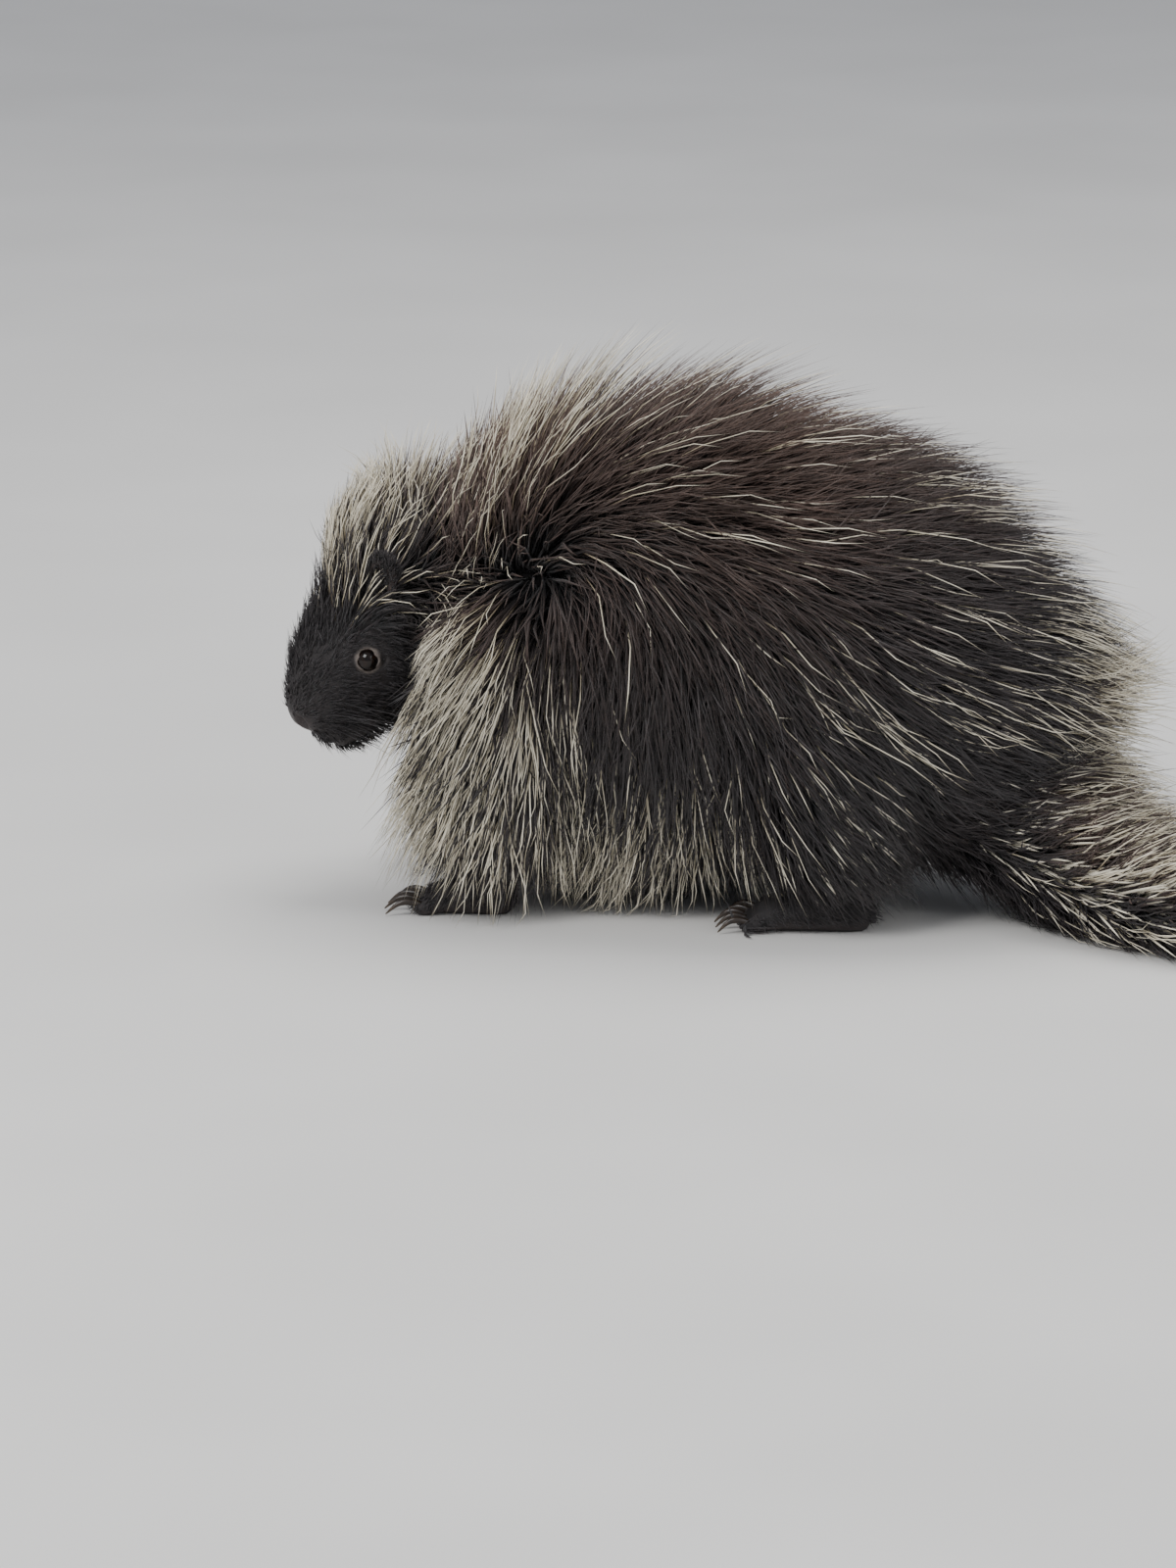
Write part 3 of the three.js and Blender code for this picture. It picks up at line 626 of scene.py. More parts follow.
def lie_at(at, out):
    """The way along the skin and the way off it of hair at each place, its length, stand and looseness.

    Where the ways round a place oppose each other, the hair is parted: it stands up and is a little longer.
    """
    flat = at[:, None, [0, 2]] - LIE[None, :, :2]
    near = 1 / ((flat**2).sum(-1) + LIE_REACH**2) ** 2
    near /= near.sum(1, keepdims=True)
    ways = near @ LIE[:, 2:4]
    free = np.stack([ways[:, 0], np.zeros(len(at)), ways[:, 1]], -1)
    way = free - out * (free * out).sum(1, keepdims=True)
    way /= norm(way, axis=1, keepdims=True) + 1e-9
    parted = 1 - smoothstep(norm(ways, axis=1), 0.25, 0.8)
    free = unit(unit(free) + out * (FREE_OUT + 0.9 * parted)[:, None])
    long, stand, loose = (near @ LIE[:, 4:7]).T
    return way, free, long * (1 + 0.35 * parted), stand + 0.5 * parted, np.maximum(loose, 0.75 * parted)


GUIDE_STATIONS = np.array([0, 0.17, 0.34, 0.5, 0.67, 0.84, 1.0])
GUIDE_RISE = np.array([0, 0.30, 0.53, 0.70, 0.84, 0.94, 1.0])
GUIDES = 7000
LEAST_RISE = 1.5
LONGEST_RATIO = 1.2


def guide_paths(tree, roots):
    """Displacements of each guide hair from its root, at the guide's stations."""
    at, out = roots.at, roots.out
    _, free, long, stand, loose = lie_at(at, out)
    depth = nearest_part(at, out)[0]
    rise = np.maximum(depth * stand, LEAST_RISE)
    paths = [np.zeros_like(at)]
    surface, normal = at.copy(), out.copy()
    for k in range(1, len(GUIDE_STATIONS)):
        t = GUIDE_STATIONS[k]
        way = lie_at(surface, normal)[0]
        reached = surface + way * (long * (t - GUIDE_STATIONS[k - 1]))[:, None]
        for i, p in enumerate(reached):
            surface[i], normal[i] = tree.find_nearest(p)[:2]
        close = surface + normal * (rise * GUIDE_RISE[k])[:, None]
        lift = depth * CORE_SHARE * min(1, 2 * t)
        straight = at + free * (long * t)[:, None] + out * lift[:, None]
        point = close + (straight - close) * loose[:, None]
        point[:, 2] = np.maximum(point[:, 2], FLOOR_CLEAR)
        paths.append(point - at)
    paths = np.stack(paths, 1)
    for _ in range(2):
        paths[:, 1:-1] = (paths[:, :-2] + 2 * paths[:, 1:-1] + paths[:, 2:]) / 4
    return paths, long


def tree_of(mesh):
    corners, _ = skin_triangles(mesh)
    return BVHTree.FromPolygons(places_of(mesh).tolist(), corners.tolist())


def kd_of(points):
    tree = KDTree(len(points))
    for i, p in enumerate(points):
        tree.insert(p, i)
    tree.balance()
    return tree


class Guides:
    """Hairs laid over the skin one by one, which all others follow."""

    def __init__(self, mesh, count, rng):
        roots = Roots(mesh, count, rng)
        self.paths, self.long = guide_paths(tree_of(mesh), roots)
        self.kd = kd_of(roots.at)

    def follow(self, points, long, stations):
        """Displacements of hairs of these lengths from points, blended from the three nearest guides."""
        found = [self.kd.find_n(p, 3) for p in points]
        index, far = (np.array([[hit[k] for hit in hits] for hits in found]) for k in (1, 2))
        weight = 1 / (far + 1.0) ** 2
        weight /= weight.sum(1, keepdims=True)
        ratio = long / (self.long[index] * weight).sum(1)
        x = np.minimum(ratio, LONGEST_RATIO)[:, None] * stations * (len(GUIDE_STATIONS) - 1)
        low = np.clip(x.astype(int), 0, len(GUIDE_STATIONS) - 2)
        part = (x - low)[..., None]
        path = np.zeros((*x.shape, 3))
        rows = np.arange(len(points))[:, None]
        for k in range(3):
            line = self.paths[index[:, k]]
            path += weight[:, k, None, None] * (line[rows, low] * (1 - part) + line[rows, low + 1] * part)
        span = (norm(self.paths[index, -1], axis=-1) * weight).sum(1)
        shrunk = norm((self.paths[index, -1] * weight[..., None]).sum(1), axis=1)
        most = 1 + 1.2 * smoothstep(long, 14, 34)
        grown = np.clip(span / (shrunk + 1e-6), 1, most) * np.maximum(ratio / LONGEST_RATIO, 1)
        return path * grown[:, None, None]


MESH = skin.data
GUIDE = Guides(MESH, GUIDES, np.random.default_rng(SEED))
EYES = np.array([HEAD @ eye_on(side)[3] for side in SIDES])
BOX_LOW, BOX_HIGH = (to_animal(corner) for corner in CAD_BOX)
BOX_SPARE = (BOX_HIGH - BOX_LOW) * 0.02 + 6
MOST_TRIANGLES = 190000
PATCH = 0.003
# Round the eyes and the cheeks the skin is bare and long hair keeps clear
CHEEK_X = -156
HEAD_FROM_U = 26
EYE_BARE = 9.4
EYE_CLEAR = 8.6
CLUMP_REACH = 14


def from_eyes(at):
    """How far the nearer eye's middle is."""
    return np.min([norm(at - eye, axis=1) for eye in EYES], axis=0)


class Places:
    """Where hairs are rooted: the part of the body, the place on the face, the hair's natural length."""

    def __init__(self, roots):
        part = nearest_part(roots.at, roots.out)[1]
        self.x, _, self.z = roots.at.T
        self.up = roots.out[:, 2]
        local = in_head(roots.at)
        u, self.v, self.w = local.T
        on_head = (part == PARTS.index("head")) & (u > 8)
        self.u = np.where(on_head, u, -50)
        brow = smoothstep(self.w, 2, 20)
        self.face = np.where(on_head, smoothstep(self.u, 14 + 50 * brow, 34 + 56 * brow), 0)
        self.long = lie_at(roots.at, roots.out)[2]
        self.long = self.long * (1 - self.face) + self.face * (18 - 7 * smoothstep(self.u, 50, 112))
        self.leg = np.array(["leg" in name for name in PARTS])[part]
        low = np.where(self.leg, smoothstep(self.z, 26, 90), 1)
        self.long = np.minimum(self.long, 12 + 67 * low + 60 * ~self.leg)
        eye_far = from_eyes(roots.at)
        nose_far = norm((local - (120, 0, -8)) / (1, 1.15, 0.9), axis=1)
        lips = on_head & (np.abs(off_mouth(u, self.w)) < 2.2) & (u > MOUTH_FROM)
        sole = (self.z < 7) & (self.up < -0.35)
        self.bare = (eye_far < EYE_BARE) | (nose_far < 9) | lips | sole
        self.long *= 0.4 + 0.6 * smoothstep(eye_far, 9, 24)

    def patch(self, patches):
        total = np.zeros(len(self.x))
        for x, z, reach, strength in patches:
            total += strength * np.exp(-((self.x - x) ** 2 + (self.z - z) ** 2) / reach**2)
        return np.minimum(total, 1)


def over_face(lines):
    """Whether a hair of the body hangs in front of the face, beside the cheek or under the chin."""
    u, v, w = np.moveaxis(in_head(lines.reshape(-1, 3)).reshape(lines.shape), -1, 0)
    x, y, z = np.moveaxis(lines, -1, 0)
    ahead = (u > 30) & (np.abs(v) < 50) & (w < 26) & (z > 112)
    beside = (x < CHEEK_X) & (np.abs(y) > 40) & (z > 105) & (z < 205)
    return (ahead | beside).any(1)


def hair_lines(roots, long, stations, rng, stand, splay, wave, clump, per_clump, straight):
    """The middle line of each hair, from just under the skin to its tip."""
    count = len(long)
    t = np.array(stations)[None, :, None]
    if straight:
        path = GUIDE.follow(roots.at, long, np.array([1.0])) * t
    else:
        path = GUIDE.follow(roots.at, long, t[0, :, 0])
    out = roots.out[:, None, :]
    drift = rng.normal(size=(count, 1, 3))
    drift -= out * (drift * out).sum(-1, keepdims=True)
    path = path + drift * (long * splay)[:, None, None] * t ** 1.3
    path += out * (long * stand * rng.random(count))[:, None, None] * t
    if wave:
        swing = unit(np.cross(path[:, -1:], out))
        phase = rng.random((count, 1, 1)) * 2 * math.pi
        turns = (1.2 + rng.random((count, 1, 1))) * 2 * math.pi
        bend = np.sin(turns * t + phase) - np.sin(phase)
        path += swing * bend * (long * wave)[:, None, None] * t
    tone = rng.random(count)
    if clump:
        middle = roots.taken(rng.choice(count, max(count // per_clump, 4), replace=False))
        kd = kd_of(middle.at)
        nearest = np.array([kd.find(p)[1] for p in roots.at])
        pull = (middle.at[nearest] - roots.at)[:, None, :]
        pull *= np.minimum(1, CLUMP_REACH / (norm(pull, axis=-1, keepdims=True) + 1e-6))
        path += pull * clump * t ** 1.5
        tone = 0.5 * rng.random(len(middle.at))[nearest] + 0.5 * tone
    covering = in_head(roots.at)[:, 0] <= HEAD_FROM_U
    for _ in range(5):
        over = covering & over_face(roots.at[:, None, :] + path)
        path[over] *= 0.82
    lines = roots.at[:, None, :] + path
    lines[:, 0] -= roots.out * np.minimum(1.2, 0.2 * long)[:, None]
    lines[:, :, 2] = np.maximum(lines[:, :, 2], FLOOR_CLEAR)
    return lines, tone


def tuft_mesh(name, lines, half, roots, tint):
    """Closed three-sided tapering tufts, each with its patch on the skin's unwrap."""
    count, stations = lines.shape[:2]
    rings = stations - 1
    along = unit(np.gradient(lines, axis=1))
    side = unit(np.cross(along, roots.out[:, None, :]))
    ridge = np.cross(side, along)
    t = np.linspace(0, 1, stations)
    width = half[:, None] * np.sqrt(np.clip(1 - t[None, :] ** 2.2, 0.02, 1))
    width = width[..., None]
    corners = np.stack([lines - side * width, lines + ridge * width * 0.9, lines + side * width], 2)
    vertices = np.concatenate([corners[:, :rings].reshape(count, -1, 3), lines[:, -1:]], 1)
    per = 3 * rings + 1
    last = 3 * (rings - 1)
    sides = ((0, 1), (1, 2), (2, 0))
    faces = [(2, 1, 0)]
    for a in range(0, last, 3):
        for i, j in sides:
            faces += [(a + j, a + 3 + i, a + i), (a + 3 + j, a + 3 + i, a + j)]
    faces += [(last + j, per - 1, last + i) for i, j in sides]
    index = (np.arange(count)[:, None, None] * per + np.array(faces)[None]).reshape(-1)
    mesh = bpy.data.meshes.new(name)
    mesh.vertices.add(count * per)
    mesh.vertices.foreach_set("co", to_part(vertices.reshape(-1, 3)).ravel())
    mesh.loops.add(len(index))
    mesh.loops.foreach_set("vertex_index", index.astype(np.int32))
    mesh.polygons.add(len(index) // 3)
    mesh.polygons.foreach_set("loop_start", np.arange(0, len(index), 3, dtype=np.int32))
    mesh.update(calc_edges=True)
    mesh.shade_smooth()
    level = np.append(np.repeat(t[:rings], 3), 1.0)
    across = np.append(np.tile([-0.5, 0.0, 0.5], rings), 0.0)
    patch = np.stack([across, level - 0.5], -1) * PATCH
    uv = np.clip(roots.uv[:, None, :] + patch[None], 0.0005, 0.9995).reshape(-1, 2)
    layer = mesh.uv_layers.new(name="OFBake")
    layer.data.foreach_set("uv", uv[index].astype(np.float32).ravel())
    paint(mesh, "coat", (np.tile(level, count), *(np.repeat(values, per) for values in tint)))
    return linked(name, mesh)


def warmth(places):
    """How reddish brown the coat is: most over the middle of the back, least on face, legs and belly."""
    back = np.exp(-(((places.x - 20) / 130) ** 2) - ((places.z - 290) / 75) ** 2)
    back += 0.8 * np.exp(-(((places.x + 125) / 50) ** 2) - ((places.z - 240) / 45) ** 2)
    tail = 0.7 * smoothstep(places.x, 190, 250) * smoothstep(places.up, -0.1, 0.5)
    return np.clip(back + tail, 0, 1)


def hair_layer(
    name, count, share, material, lengths, half, stations=(0, 0.3, 0.62, 1),
    stand=0.06, splay=0.07, wave=0.0, clump=0.5, per_clump=14, straight=False,
):
    """Hair of one kind: share says how likely a place is to bear it, lengths how long it is there."""
    rng = np.random.default_rng(SEED + len(name) * 131 + sum(map(ord, name)))
    wanted = max(int(count * (1)), 30)
    found = Roots(MESH, wanted * 3 if share else wanted, rng)
    places = Places(found)
    keep = ~places.bare
    if share:
        odds = share(places) * ~places.bare
        keep &= rng.random(len(odds)) < odds * min(1, wanted / max(odds.sum(), 1))
    roots = found.taken(keep)
    places = Places(roots)
    long = lengths(places, rng.random(len(roots.at)))
    lines, tone = hair_lines(roots, long, stations, rng, stand, splay, wave, clump, per_clump, straight)
    inside = np.all((lines > BOX_LOW - BOX_SPARE) & (lines < BOX_HIGH + BOX_SPARE), axis=(1, 2))
    for eye in EYES:
        inside &= norm(lines - eye, axis=-1).min(1) > EYE_CLEAR
    lines, long, tone = lines[inside], long[inside], tone[inside]
    roots = roots.taken(inside)
    warm = warmth(Places(roots))
    thick = half * (0.75 + 0.5 * rng.random(len(long))) * np.clip(long / 30, 0.62, 1.15)
    per_tuft = 6 * (len(stations) - 2) + 4
    most = MOST_TRIANGLES // per_tuft
    made = []
    for k in range(0, len(long), most):
        some = slice(k, k + most)
        tint = (tone[some], warm[some])
        piece = tuft_mesh(f"{name}_{k // most + 1}", lines[some], thick[some], roots.taken(some), tint)
        piece.data.materials.append(material)
        made.append(piece)
    return made


# Materials: dark to pale colours of the coat, and node shading that follows the painted marks
def srgb(r, g, b):
    def linear(value):
        value /= 255
        return value / 12.92 if value <= 0.04045 else ((value + 0.055) / 1.055) ** 2.4

    return (linear(r), linear(g), linear(b), 1)


class Shade:
    """A node material being put together."""

    def __init__(self, name):
        self.material = bpy.data.materials.new(name)
        self.material.use_nodes = True
        self.tree = self.material.node_tree
        self.surface = self.tree.nodes["Principled BSDF"]

    def put(self, value, socket):
        if isinstance(value, bpy.types.NodeSocket):
            self.tree.links.new(value, socket)
        else:
            socket.default_value = value

    def add(self, kind, inputs=(), **settings):
        node = self.tree.nodes.new(kind)
        for key, value in settings.items():
            setattr(node, key, value)
        for key, value in dict(inputs).items():
            self.put(value, node.inputs[key])
        return node

    def math(self, operation, a, b=0.0):
        return self.add("ShaderNodeMath", {0: a, 1: b}, operation=operation).outputs[0]

    def ramp(self, factor, stops):
        node = self.add("ShaderNodeValToRGB", {0: factor})
        elements = node.color_ramp.elements
        while len(elements) < len(stops):
            elements.new(0.5)
        for element, (at, colour) in zip(elements, stops):
            element.position = at
            element.color = colour
        return node.outputs[0]

    def mix(self, factor, a, b, blend="MIX"):
        node = self.add("ShaderNodeMix", data_type="RGBA", blend_type=blend)
        self.put(factor, node.inputs[0])
        self.put(a, node.inputs[6])
        self.put(b, node.inputs[7])
        return node.outputs[2]

    def noise(self, scale, detail=3.0, roughness=0.5):
        at = self.add("ShaderNodeTexCoord").outputs["Object"]
        inputs = {"Vector": at, "Scale": scale, "Detail": detail, "Roughness": roughness}
        return self.add("ShaderNodeTexNoise", inputs).outputs[0]

    def marks(self, name):
        """The three numbers of a colour attribute."""
        colour = self.add("ShaderNodeAttribute", attribute_name=name).outputs["Color"]
        return self.add("ShaderNodeSeparateColor", {0: colour}).outputs

    def scaled(self, value, factor, base):
        return self.math("ADD", self.math("MULTIPLY", value, factor), base)

    def bump(self, height, strength, distance):
        node = self.add("ShaderNodeBump", {"Height": height, "Strength": strength, "Distance": distance})
        self.put(node.outputs[0], self.surface.inputs["Normal"])

    def finish(self, colour, **inputs):
        self.put(colour, self.surface.inputs["Base Color"])
        for key, value in inputs.items():
            self.put(value, self.surface.inputs[key.replace("_", " ")])
        return self.material


def hair_shade(name, stops, warm, rough=0.5, spread=0.22, contrast=0.75):
    """Hair coloured along its length, differing from lock to lock, and browner where the coat is warm."""
    shade = Shade(name)
    along, tone, warmed = shade.marks("coat")
    patches = shade.noise(26, 2)
    slid = shade.math("ADD", along, shade.math("MULTIPLY", shade.math("SUBTRACT", tone, 0.5), spread))
    cold = shade.ramp(slid, stops)
    tinted = shade.ramp(slid, warm)
    colour = shade.mix(warmed, cold, tinted)
    bright = shade.scaled(tone, contrast, 1 - contrast / 2)
    bright = shade.math("MULTIPLY", bright, shade.scaled(patches, 0.7, 0.65))
    grey = shade.add("ShaderNodeCombineColor", {0: bright, 1: bright, 2: bright}).outputs[0]
    colour = shade.mix(1.0, colour, grey, "MULTIPLY")
    streak = shade.noise(900, 2, 0.7)
    shade.bump(streak, 0.25, 0.0004)
    roughness = shade.scaled(streak, 0.18, rough - 0.09)
    return shade.finish(colour, Roughness=roughness, Specular_IOR_Level=0.32, Sheen_Weight=0.12)


BLACK = srgb(24, 22, 24)
DARK = srgb(40, 36, 37)
SOOT = srgb(56, 50, 50)
BROWN = srgb(74, 58, 50)
RUSSET = srgb(94, 74, 64)
TAN = srgb(150, 128, 104)
STRAW = srgb(196, 184, 156)
CREAM = srgb(226, 218, 198)
HORN_TIP = srgb(30, 26, 25)

UNDER = hair_shade(
    "underfur", [(0, BLACK), (0.5, DARK), (1, SOOT)], [(0, DARK), (0.5, BROWN), (1, RUSSET)], 0.6
)
GUARD = hair_shade(
    "guard_hair",
    [(0, BLACK), (0.6, DARK), (0.9, SOOT), (1, BROWN)],
    [(0, DARK), (0.5, BROWN), (0.9, RUSSET), (1, RUSSET)],
    0.45,
)
PALE = hair_shade(
    "pale_hair",
    [(0, DARK), (0.16, BROWN), (0.36, STRAW), (0.75, CREAM), (1, STRAW)],
    [(0, DARK), (0.18, BROWN), (0.34, TAN), (0.5, STRAW), (0.8, CREAM), (1, CREAM)],
    0.38,
    contrast=0.5,
)
FACE = hair_shade(
    "face_hair", [(0, BLACK), (0.5, DARK), (1, SOOT)], [(0, BLACK), (0.5, DARK), (1, BROWN)], 0.55
)
QUILL = hair_shade(
    "quill",
    [(0, STRAW), (0.3, CREAM), (0.84, CREAM), (0.93, SOOT), (1, HORN_TIP)],
    [(0, STRAW), (0.3, CREAM), (0.8, STRAW), (0.92, SOOT), (1, HORN_TIP)],
    0.3,
    spread=0.12,
    contrast=0.25,
)

# Pale hair and quills grow in patches, given in side view: place x, z, reach, strength
PALE_PATCHES = [
    (-222, 232, 26, 1.0),
    (-206, 200, 20, 0.8),
    (-196, 240, 30, 1.0),
    (-172, 250, 26, 0.4),
    (-116, 262, 30, 1.0),
    (-92, 290, 26, 1.0),
    (-70, 300, 24, 0.5),
    (-104, 176, 34, 0.95),
    (-122, 150, 32, 0.9),
    (-124, 100, 36, 1.0),
    (-70, 100, 34, 0.3),
    (-20, 92, 38, 0.65),
    (30, 84, 34, 0.35),
    (112, 160, 36, 0.14),
    (236, 140, 30, 1.0),
    (215, 175, 26, 0.6),
    (238, 95, 24, 0.5),
    (300, 35, 60, 0.25),
]
BACK_TIPS = [(-40, 290, 60, 0.03), (40, 240, 120, 0.01), (60, 300, 80, 0.02), (150, 240, 60, 0.05)]
QUILL_PATCHES = [
    (60, 90, 30, 0.10),
    (105, 85, 34, 0.35),
    (120, 150, 40, 0.08),
    (210, 62, 34, 0.6),
    (262, 48, 45, 1.0),
    (330, 32, 55, 1.0),
]
# Painted shade: the hollow between thigh and tail, where shade falls over the coat's own dark hair, is kept
# dark by letting no pale hair show there: place x, z, reach
SHADED_HOLLOW = (182, 95, 34)
LONGEST_GUARD = 84


def body_lengths(low, high):
    def lengths(places, chance):
        return places.long * (low + (high - low) * chance)

    return lengths


def off_face(places):
    return (1 - places.face) * np.clip((places.long - 12) / 30, 0.02, 1)


def guard_lengths(places, chance):
    return np.minimum(places.long, LONGEST_GUARD) * (0.56 + 0.46 * chance)


def dark_share(places):
    """Guard hair everywhere but the face, thinner where quills fill the tail."""
    return off_face(places) * (1 - 0.55 * smoothstep(places.x, 215, 260))


def short_places(places):
    return np.clip(places.face + (places.leg & (places.z < 60)), 0, 1)


def pale_share(places):
    # Painted shade: the shaded hollow between thigh and tail gets no pale hair, so it stays dark
    painted_shade = np.exp(-((places.x - SHADED_HOLLOW[0]) ** 2 + (places.z - SHADED_HOLLOW[1]) ** 2) / SHADED_HOLLOW[2] ** 2)
    patchy = np.minimum(places.patch(PALE_PATCHES) + places.patch(BACK_TIPS), 1) * (1 - painted_shade)
    off_legs = 1 - 0.85 * places.leg * (places.z < 90)
    return patchy * off_face(places) * off_legs * (places.up > -0.75)


def quill_share(places):
    return places.patch(QUILL_PATCHES) * (places.z > 14) * (places.up > -0.35)


def quill_lengths(places, chance):
    on_tail = smoothstep(places.x, 190, 235)
    long = places.long * (0.5 + 0.5 * chance + 0.25 * on_tail)
    return np.minimum(long, 24 + 18 * chance + 24 * on_tail)


def dress(obj, material, slot, *nodes):
    if material:
        obj.data.materials.append(material)
    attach(obj, "root")
    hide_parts(*nodes)


COAT = [
    *hair_layer(
        "wool", 38000, None, UNDER, body_lengths(0.38, 0.66), 0.95, (0, 0.5, 1),
        stand=0.42, splay=0.26, clump=0.25, per_clump=9,
    ),
    *hair_layer(
        "guard_hair", 23000, dark_share, GUARD, guard_lengths, 0.46,
        stand=0.26, splay=0.17, clump=0.3,
    ),
    *hair_layer(
        "pale_hair", 14500, pale_share, PALE, body_lengths(0.85, 1.28), 0.42, (0, 0.25, 0.5, 0.78, 1),
        stand=0.12, splay=0.13, wave=0.03, clump=0.35, per_clump=8,
    ),
    *hair_layer(
        "face_hair", 20000, short_places, FACE, body_lengths(0.7, 1.15), 0.42, (0, 0.5, 1),
        stand=0.4, splay=0.2, clump=0.2,
    ),
    *hair_layer(
        "quills", 4600, quill_share, QUILL, quill_lengths, 0.85,
        stand=0.32, splay=0.16, clump=0.0, straight=True,
    ),
]
FLESH = ["torso", "neck", "head", "tail"]
FLESH += [f"{leg}_{name}" for leg in ("foreleg", "hindleg") for name in SIDE_NAME.values()]
for piece in COAT:
    dress(piece, None, "fur", *FLESH)


def paint_zones(mesh):
    """Marks the skin: red at the eyelids, green on the nose, lips and soles, blue on the face."""
    places, outs = places_of(mesh), normals_of(mesh)
    local = in_head(places)
    u, _, w = local.T
    lids = 1 - smoothstep(from_eyes(places), 8.0, 9.6)
    nose = 1 - smoothstep(norm(local - (120, 0, -9), axis=1), 9, 15)
    lip = hump(off_mouth(u, w), 0, 3) * (u > MOUTH_FROM - 4)
    sole = (places[:, 2] < 9) * smoothstep(-outs[:, 2], 0.1, 0.5)
    bare = np.clip(nose + lip * (u < 140) * (w > -60) + sole, 0, 1)
    paint(mesh, "zone", (lids, bare, smoothstep(u, 40, 60)))


def skin_shade():
    shade = Shade("skin")
    lid, bare, face = shade.marks("zone")
    coarse = shade.noise(60, 4)
    fine = shade.noise(700, 4, 0.65)
    body = shade.ramp(coarse, [(0.3, srgb(20, 18, 19)), (0.7, srgb(36, 31, 31))])
    muzzle = shade.ramp(fine, [(0.3, srgb(24, 21, 22)), (0.75, srgb(46, 39, 38))])
    colour = shade.mix(face, body, muzzle)
    leather = shade.ramp(fine, [(0.3, srgb(30, 25, 26)), (0.7, srgb(60, 50, 49))])
    colour = shade.mix(bare, colour, leather)
    rim = shade.ramp(fine, [(0.3, srgb(84, 76, 72)), (0.7, srgb(124, 114, 106))])
    colour = shade.mix(lid, colour, rim)
    grain = shade.add("ShaderNodeTexVoronoi", {"Scale": 900.0}).outputs[0]
    shade.bump(shade.math("ADD", grain, fine), 0.5, 0.0006)
    roughness = shade.math("SUBTRACT", 0.62, shade.math("MULTIPLY", bare, 0.2))
    return shade.finish(colour, Roughness=roughness)


def eye_shade():
    shade = Shade("eye")
    glint = shade.noise(300, 4)
    colour = shade.ramp(glint, [(0.35, srgb(9, 7, 7)), (0.75, srgb(34, 22, 15))])
    shade.bump(shade.noise(900, 2), 0.03, 0.0002)
    return shade.finish(colour, Roughness=0.04, Specular_IOR_Level=0.3)


def claw_shade():
    shade = Shade("claw")
    streaks = shade.noise(420, 5, 0.7)
    along = shade.marks("coat")[0]
    horn = shade.ramp(along, [(0, srgb(42, 34, 30)), (0.6, srgb(66, 54, 45)), (1, srgb(104, 88, 70))])
    worn = shade.ramp(streaks, [(0.3, srgb(120, 120, 120)), (0.7, srgb(255, 255, 255))])
    shade.bump(streaks, 0.35, 0.0004)
    return shade.finish(shade.mix(1.0, horn, worn, "MULTIPLY"), Roughness=0.34)


def ear_shade():
    shade = Shade("ear")
    mottle = shade.noise(260, 5, 0.6)
    colour = shade.ramp(mottle, [(0.3, srgb(34, 28, 27)), (0.7, srgb(66, 53, 49))])
    shade.bump(mottle, 0.5, 0.0008)
    return shade.finish(colour, Roughness=0.6)


EAR_SIZE = (6, 12, 16)
EAR_CUP = (5, 8.5, 12)
EAR_CUP_AHEAD = 4.6
EAR_RISE = 6
EAR_HAIRS = 1200
EAR_PATCHES = 20000


def make_ear(side):
    """A thin oval leaf hollowed from the front, standing on the side of the head."""
    root = Vector(HEAD_LOFT.point(EAR_S, EAR_ANGLE * side, CORE_SHARE))
    grows, front = (Vector((u, -side * v, w)).normalized() for u, v, w in (EAR_GROWS, EAR_FACES))
    front = (front - grows * front.dot(grows)).normalized()
    matrix = frame_of(front, grows.cross(front), grows, root + grows * EAR_RISE)
    points, faces = ellipsoid(Matrix.Identity(4), EAR_SIZE, 48, 36)
    placed = []
    for x, y, z in points:
        inner = 1 - (y / EAR_CUP[1]) ** 2 - ((z - 1) / EAR_CUP[2]) ** 2
        if x > 0 and inner > 0:
            x = min(x, EAR_CUP_AHEAD - EAR_CUP[0] * math.sqrt(inner))
        placed.append(HEAD @ (matrix @ Vector((x, y, z))))
    return new_object("ear_skin_" + SIDE_NAME[side], placed, faces)


def make_ear_fur(ear, side):
    """Short dark hair over the ear, pointing to its tip, with patches on the nearest skin's unwrap."""
    rng = np.random.default_rng(SEED + 20 + side)
    places, outs = places_of(ear.data), normals_of(ear.data)
    chosen = rng.choice(len(places), EAR_HAIRS)
    ground = Roots(MESH, EAR_PATCHES, rng)
    kd = kd_of(ground.at)
    roots = ground.taken([kd.find(p)[1] for p in places[chosen]])
    roots.at, roots.out = places[chosen], outs[chosen]
    tip = HEAD_TURN @ (EAR_GROWS[0], -side * EAR_GROWS[1], EAR_GROWS[2])
    way = unit(unit(tip) + 0.5 * roots.out + rng.normal(size=roots.out.shape) * 0.18)
    long = 4.5 + 5 * rng.random(len(way))
    t = np.array((0, 0.5, 1))[None, :, None]
    lines = roots.at[:, None] + way[:, None] * long[:, None, None] * t
    tint = (rng.random(len(way)), np.zeros(len(way)))
    fur = tuft_mesh("ear_fur_" + SIDE_NAME[side], lines, np.full(len(way), 0.32), roots, tint)
    fur.data.materials.append(FACE)
    return fur


CLAW_RINGS = 12
CLAW_AROUND = 14
CLAW_RISES = (2.6, 4.4, 2.8, CLAW_TIP_Z - TOE_Z)


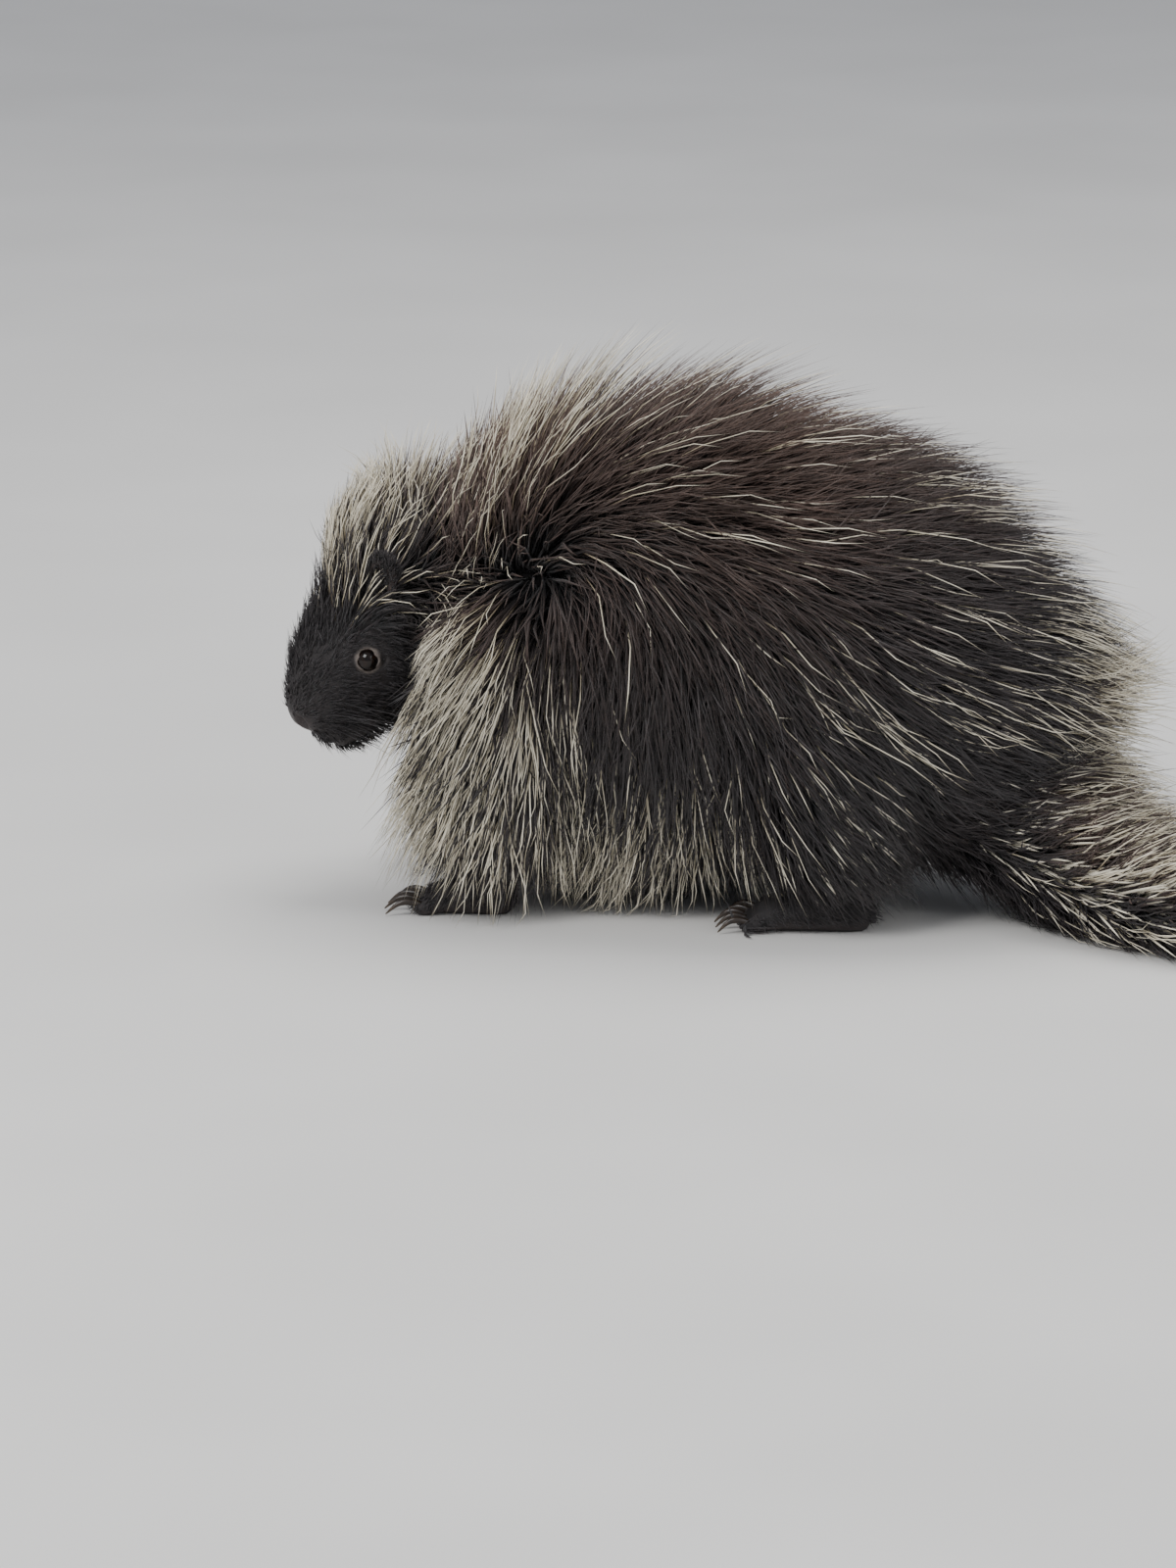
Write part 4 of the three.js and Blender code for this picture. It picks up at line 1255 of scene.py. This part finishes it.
def make_claws():
    """Every claw, bent down from its toe's tip to a blunt point just above the floor."""
    shells, shares = [], []
    for side in SIDES:
        for paw in (FORE_PAW, HIND_PAW):
            for i in range(paw["toes"]):
                at, heading = toe_at(paw, side, i)
                rows = []
                for k, rise in enumerate(CLAW_RISES):
                    p = at + heading * (k / 3 * paw["claw"] + paw["size"][0] * 0.35)
                    r = CLAW_RADIUS * (1 - 0.8 * (k / 3) ** 2)
                    rows.append((p.x, p.y, p.z + rise, r * 0.8, r, r, 0, 0, 0))
                shells.append(Loft(rows, (1.5, 0.6)).mesh(CLAW_RINGS, CLAW_AROUND))
                shares += [0, *np.repeat(np.arange(1, CLAW_RINGS + 1) / (CLAW_RINGS + 1), CLAW_AROUND), 1]
    claws = new_object("claws", *joined(shells))
    paint(claws.data, "coat", [shares])
    return claws


WHISKERS = 36


def make_whiskers():
    rng = np.random.default_rng(SEED + 5)
    found = Roots(MESH, 40000, rng)
    places = Places(found)
    near = (places.u > 94) & (places.u < 114) & (np.abs(places.v) > 9) & (places.w < -10) & (places.w > -27)
    roots = found.taken(np.flatnonzero(near)[:WHISKERS])
    back = HEAD_TURN @ np.array((-0.75, 0, -0.25))
    ways = unit(roots.out + back + rng.normal(size=roots.out.shape) * 0.12)
    long = 26 + 30 * rng.random(len(ways))
    t = np.linspace(0, 1, 8)[None, :, None]
    droop = np.array((0, 0, -1.0)) * (long * 0.16)[:, None, None] * t**2
    lines = roots.at[:, None] + ways[:, None] * long[:, None, None] * t + droop
    lines[:, 0] -= roots.out
    tint = (rng.random(len(ways)), np.zeros(len(ways)))
    whiskers = tuft_mesh("whiskers", lines, np.full(len(ways), 0.24), roots, tint)
    whiskers.data.materials.append(GUARD)
    return whiskers


paint_zones(MESH)
dress(skin, skin_shade(), "fur", *FLESH)
EYE = eye_shade()
EAR = ear_shade()
for (side, name), eye in zip(SIDE_NAME.items(), EYES):
    ball = ellipsoid(Matrix.Translation(eye), (EYE_RADIUS,) * 3, 48, 32)
    dress(new_object("eyeball_" + name, *ball), EYE, "eye", "eye_" + name)
    ear = make_ear(side)
    dress(ear, EAR, "skin", "ear_" + name)
    dress(make_ear_fur(ear, side), None, "fur", "ear_" + name)
CLAW_NODES = [f"claw_foreleg_{name}_{i + 1}" for name in SIDE_NAME.values() for i in range(4)]
CLAW_NODES += [f"claw_hindleg_{name}_{i + 1}" for name in SIDE_NAME.values() for i in range(5)]
dress(make_claws(), claw_shade(), "claw", *CLAW_NODES)
dress(make_whiskers(), None, "fur", "head")


# The stage: a pale floor, soft light from above and both sides, and the photograph's camera
FLOOR_HALF = 12


def make_floor():
    mesh = bpy.data.meshes.new("floor")
    corners = [(x * FLOOR_HALF, y * FLOOR_HALF, 0) for x, y in ((-1, -1), (1, -1), (1, 1), (-1, 1))]
    mesh.from_pydata(corners, [], [(0, 1, 2, 3)])
    shade = Shade("floor")
    speck = shade.noise(3, 2)
    colour = shade.ramp(speck, [(0.3, srgb(206, 204, 200)), (0.7, srgb(214, 212, 208))])
    mesh.materials.append(shade.finish(colour, Roughness=0.8))
    linked("floor", mesh)


def area_light(name, place, size, watts):
    light = bpy.data.lights.new(name, "AREA")
    light.size = size
    light.energy = watts
    obj = linked(name, light)
    obj.location = place
    obj.rotation_euler = (-Vector(place)).to_track_quat("-Z", "Y").to_euler()


def make_world():
    world = bpy.data.worlds.new("pale")
    world.use_nodes = True
    background = world.node_tree.nodes["Background"]
    background.inputs[0].default_value = (0.86, 0.9, 1, 1)
    background.inputs[1].default_value = 0.55
    bpy.context.scene.world = world


def make_camera():
    target = Vector(to_part(TARGET_MM))
    a, e = CAMERA_AZIMUTH, CAMERA_ELEVATION
    back = Vector((math.sin(a) * math.cos(e), -math.cos(a) * math.cos(e), math.sin(e)))
    camera = bpy.data.cameras.new("camera")
    camera.sensor_fit = "VERTICAL"
    camera.sensor_height = SENSOR_MM
    camera.lens = SENSOR_MM * CAMERA_DISTANCE / (MM_PER_PIXEL * PHOTO_HEIGHT * MM)
    camera.clip_end = 60
    camera.dof.use_dof = False
    obj = linked("camera", camera)
    obj.location = target + back * CAMERA_DISTANCE
    obj.rotation_euler = (-back).to_track_quat("-Z", "Y").to_euler()
    bpy.context.scene.camera = obj


make_floor()
make_world()
area_light("key", (-1.6, -2.2, 2.6), 1.6, 95)
area_light("fill", (2.4, -1.8, 1.6), 2.2, 34)
area_light("top", (0.3, 0.8, 2.8), 1.8, 60)
make_camera()
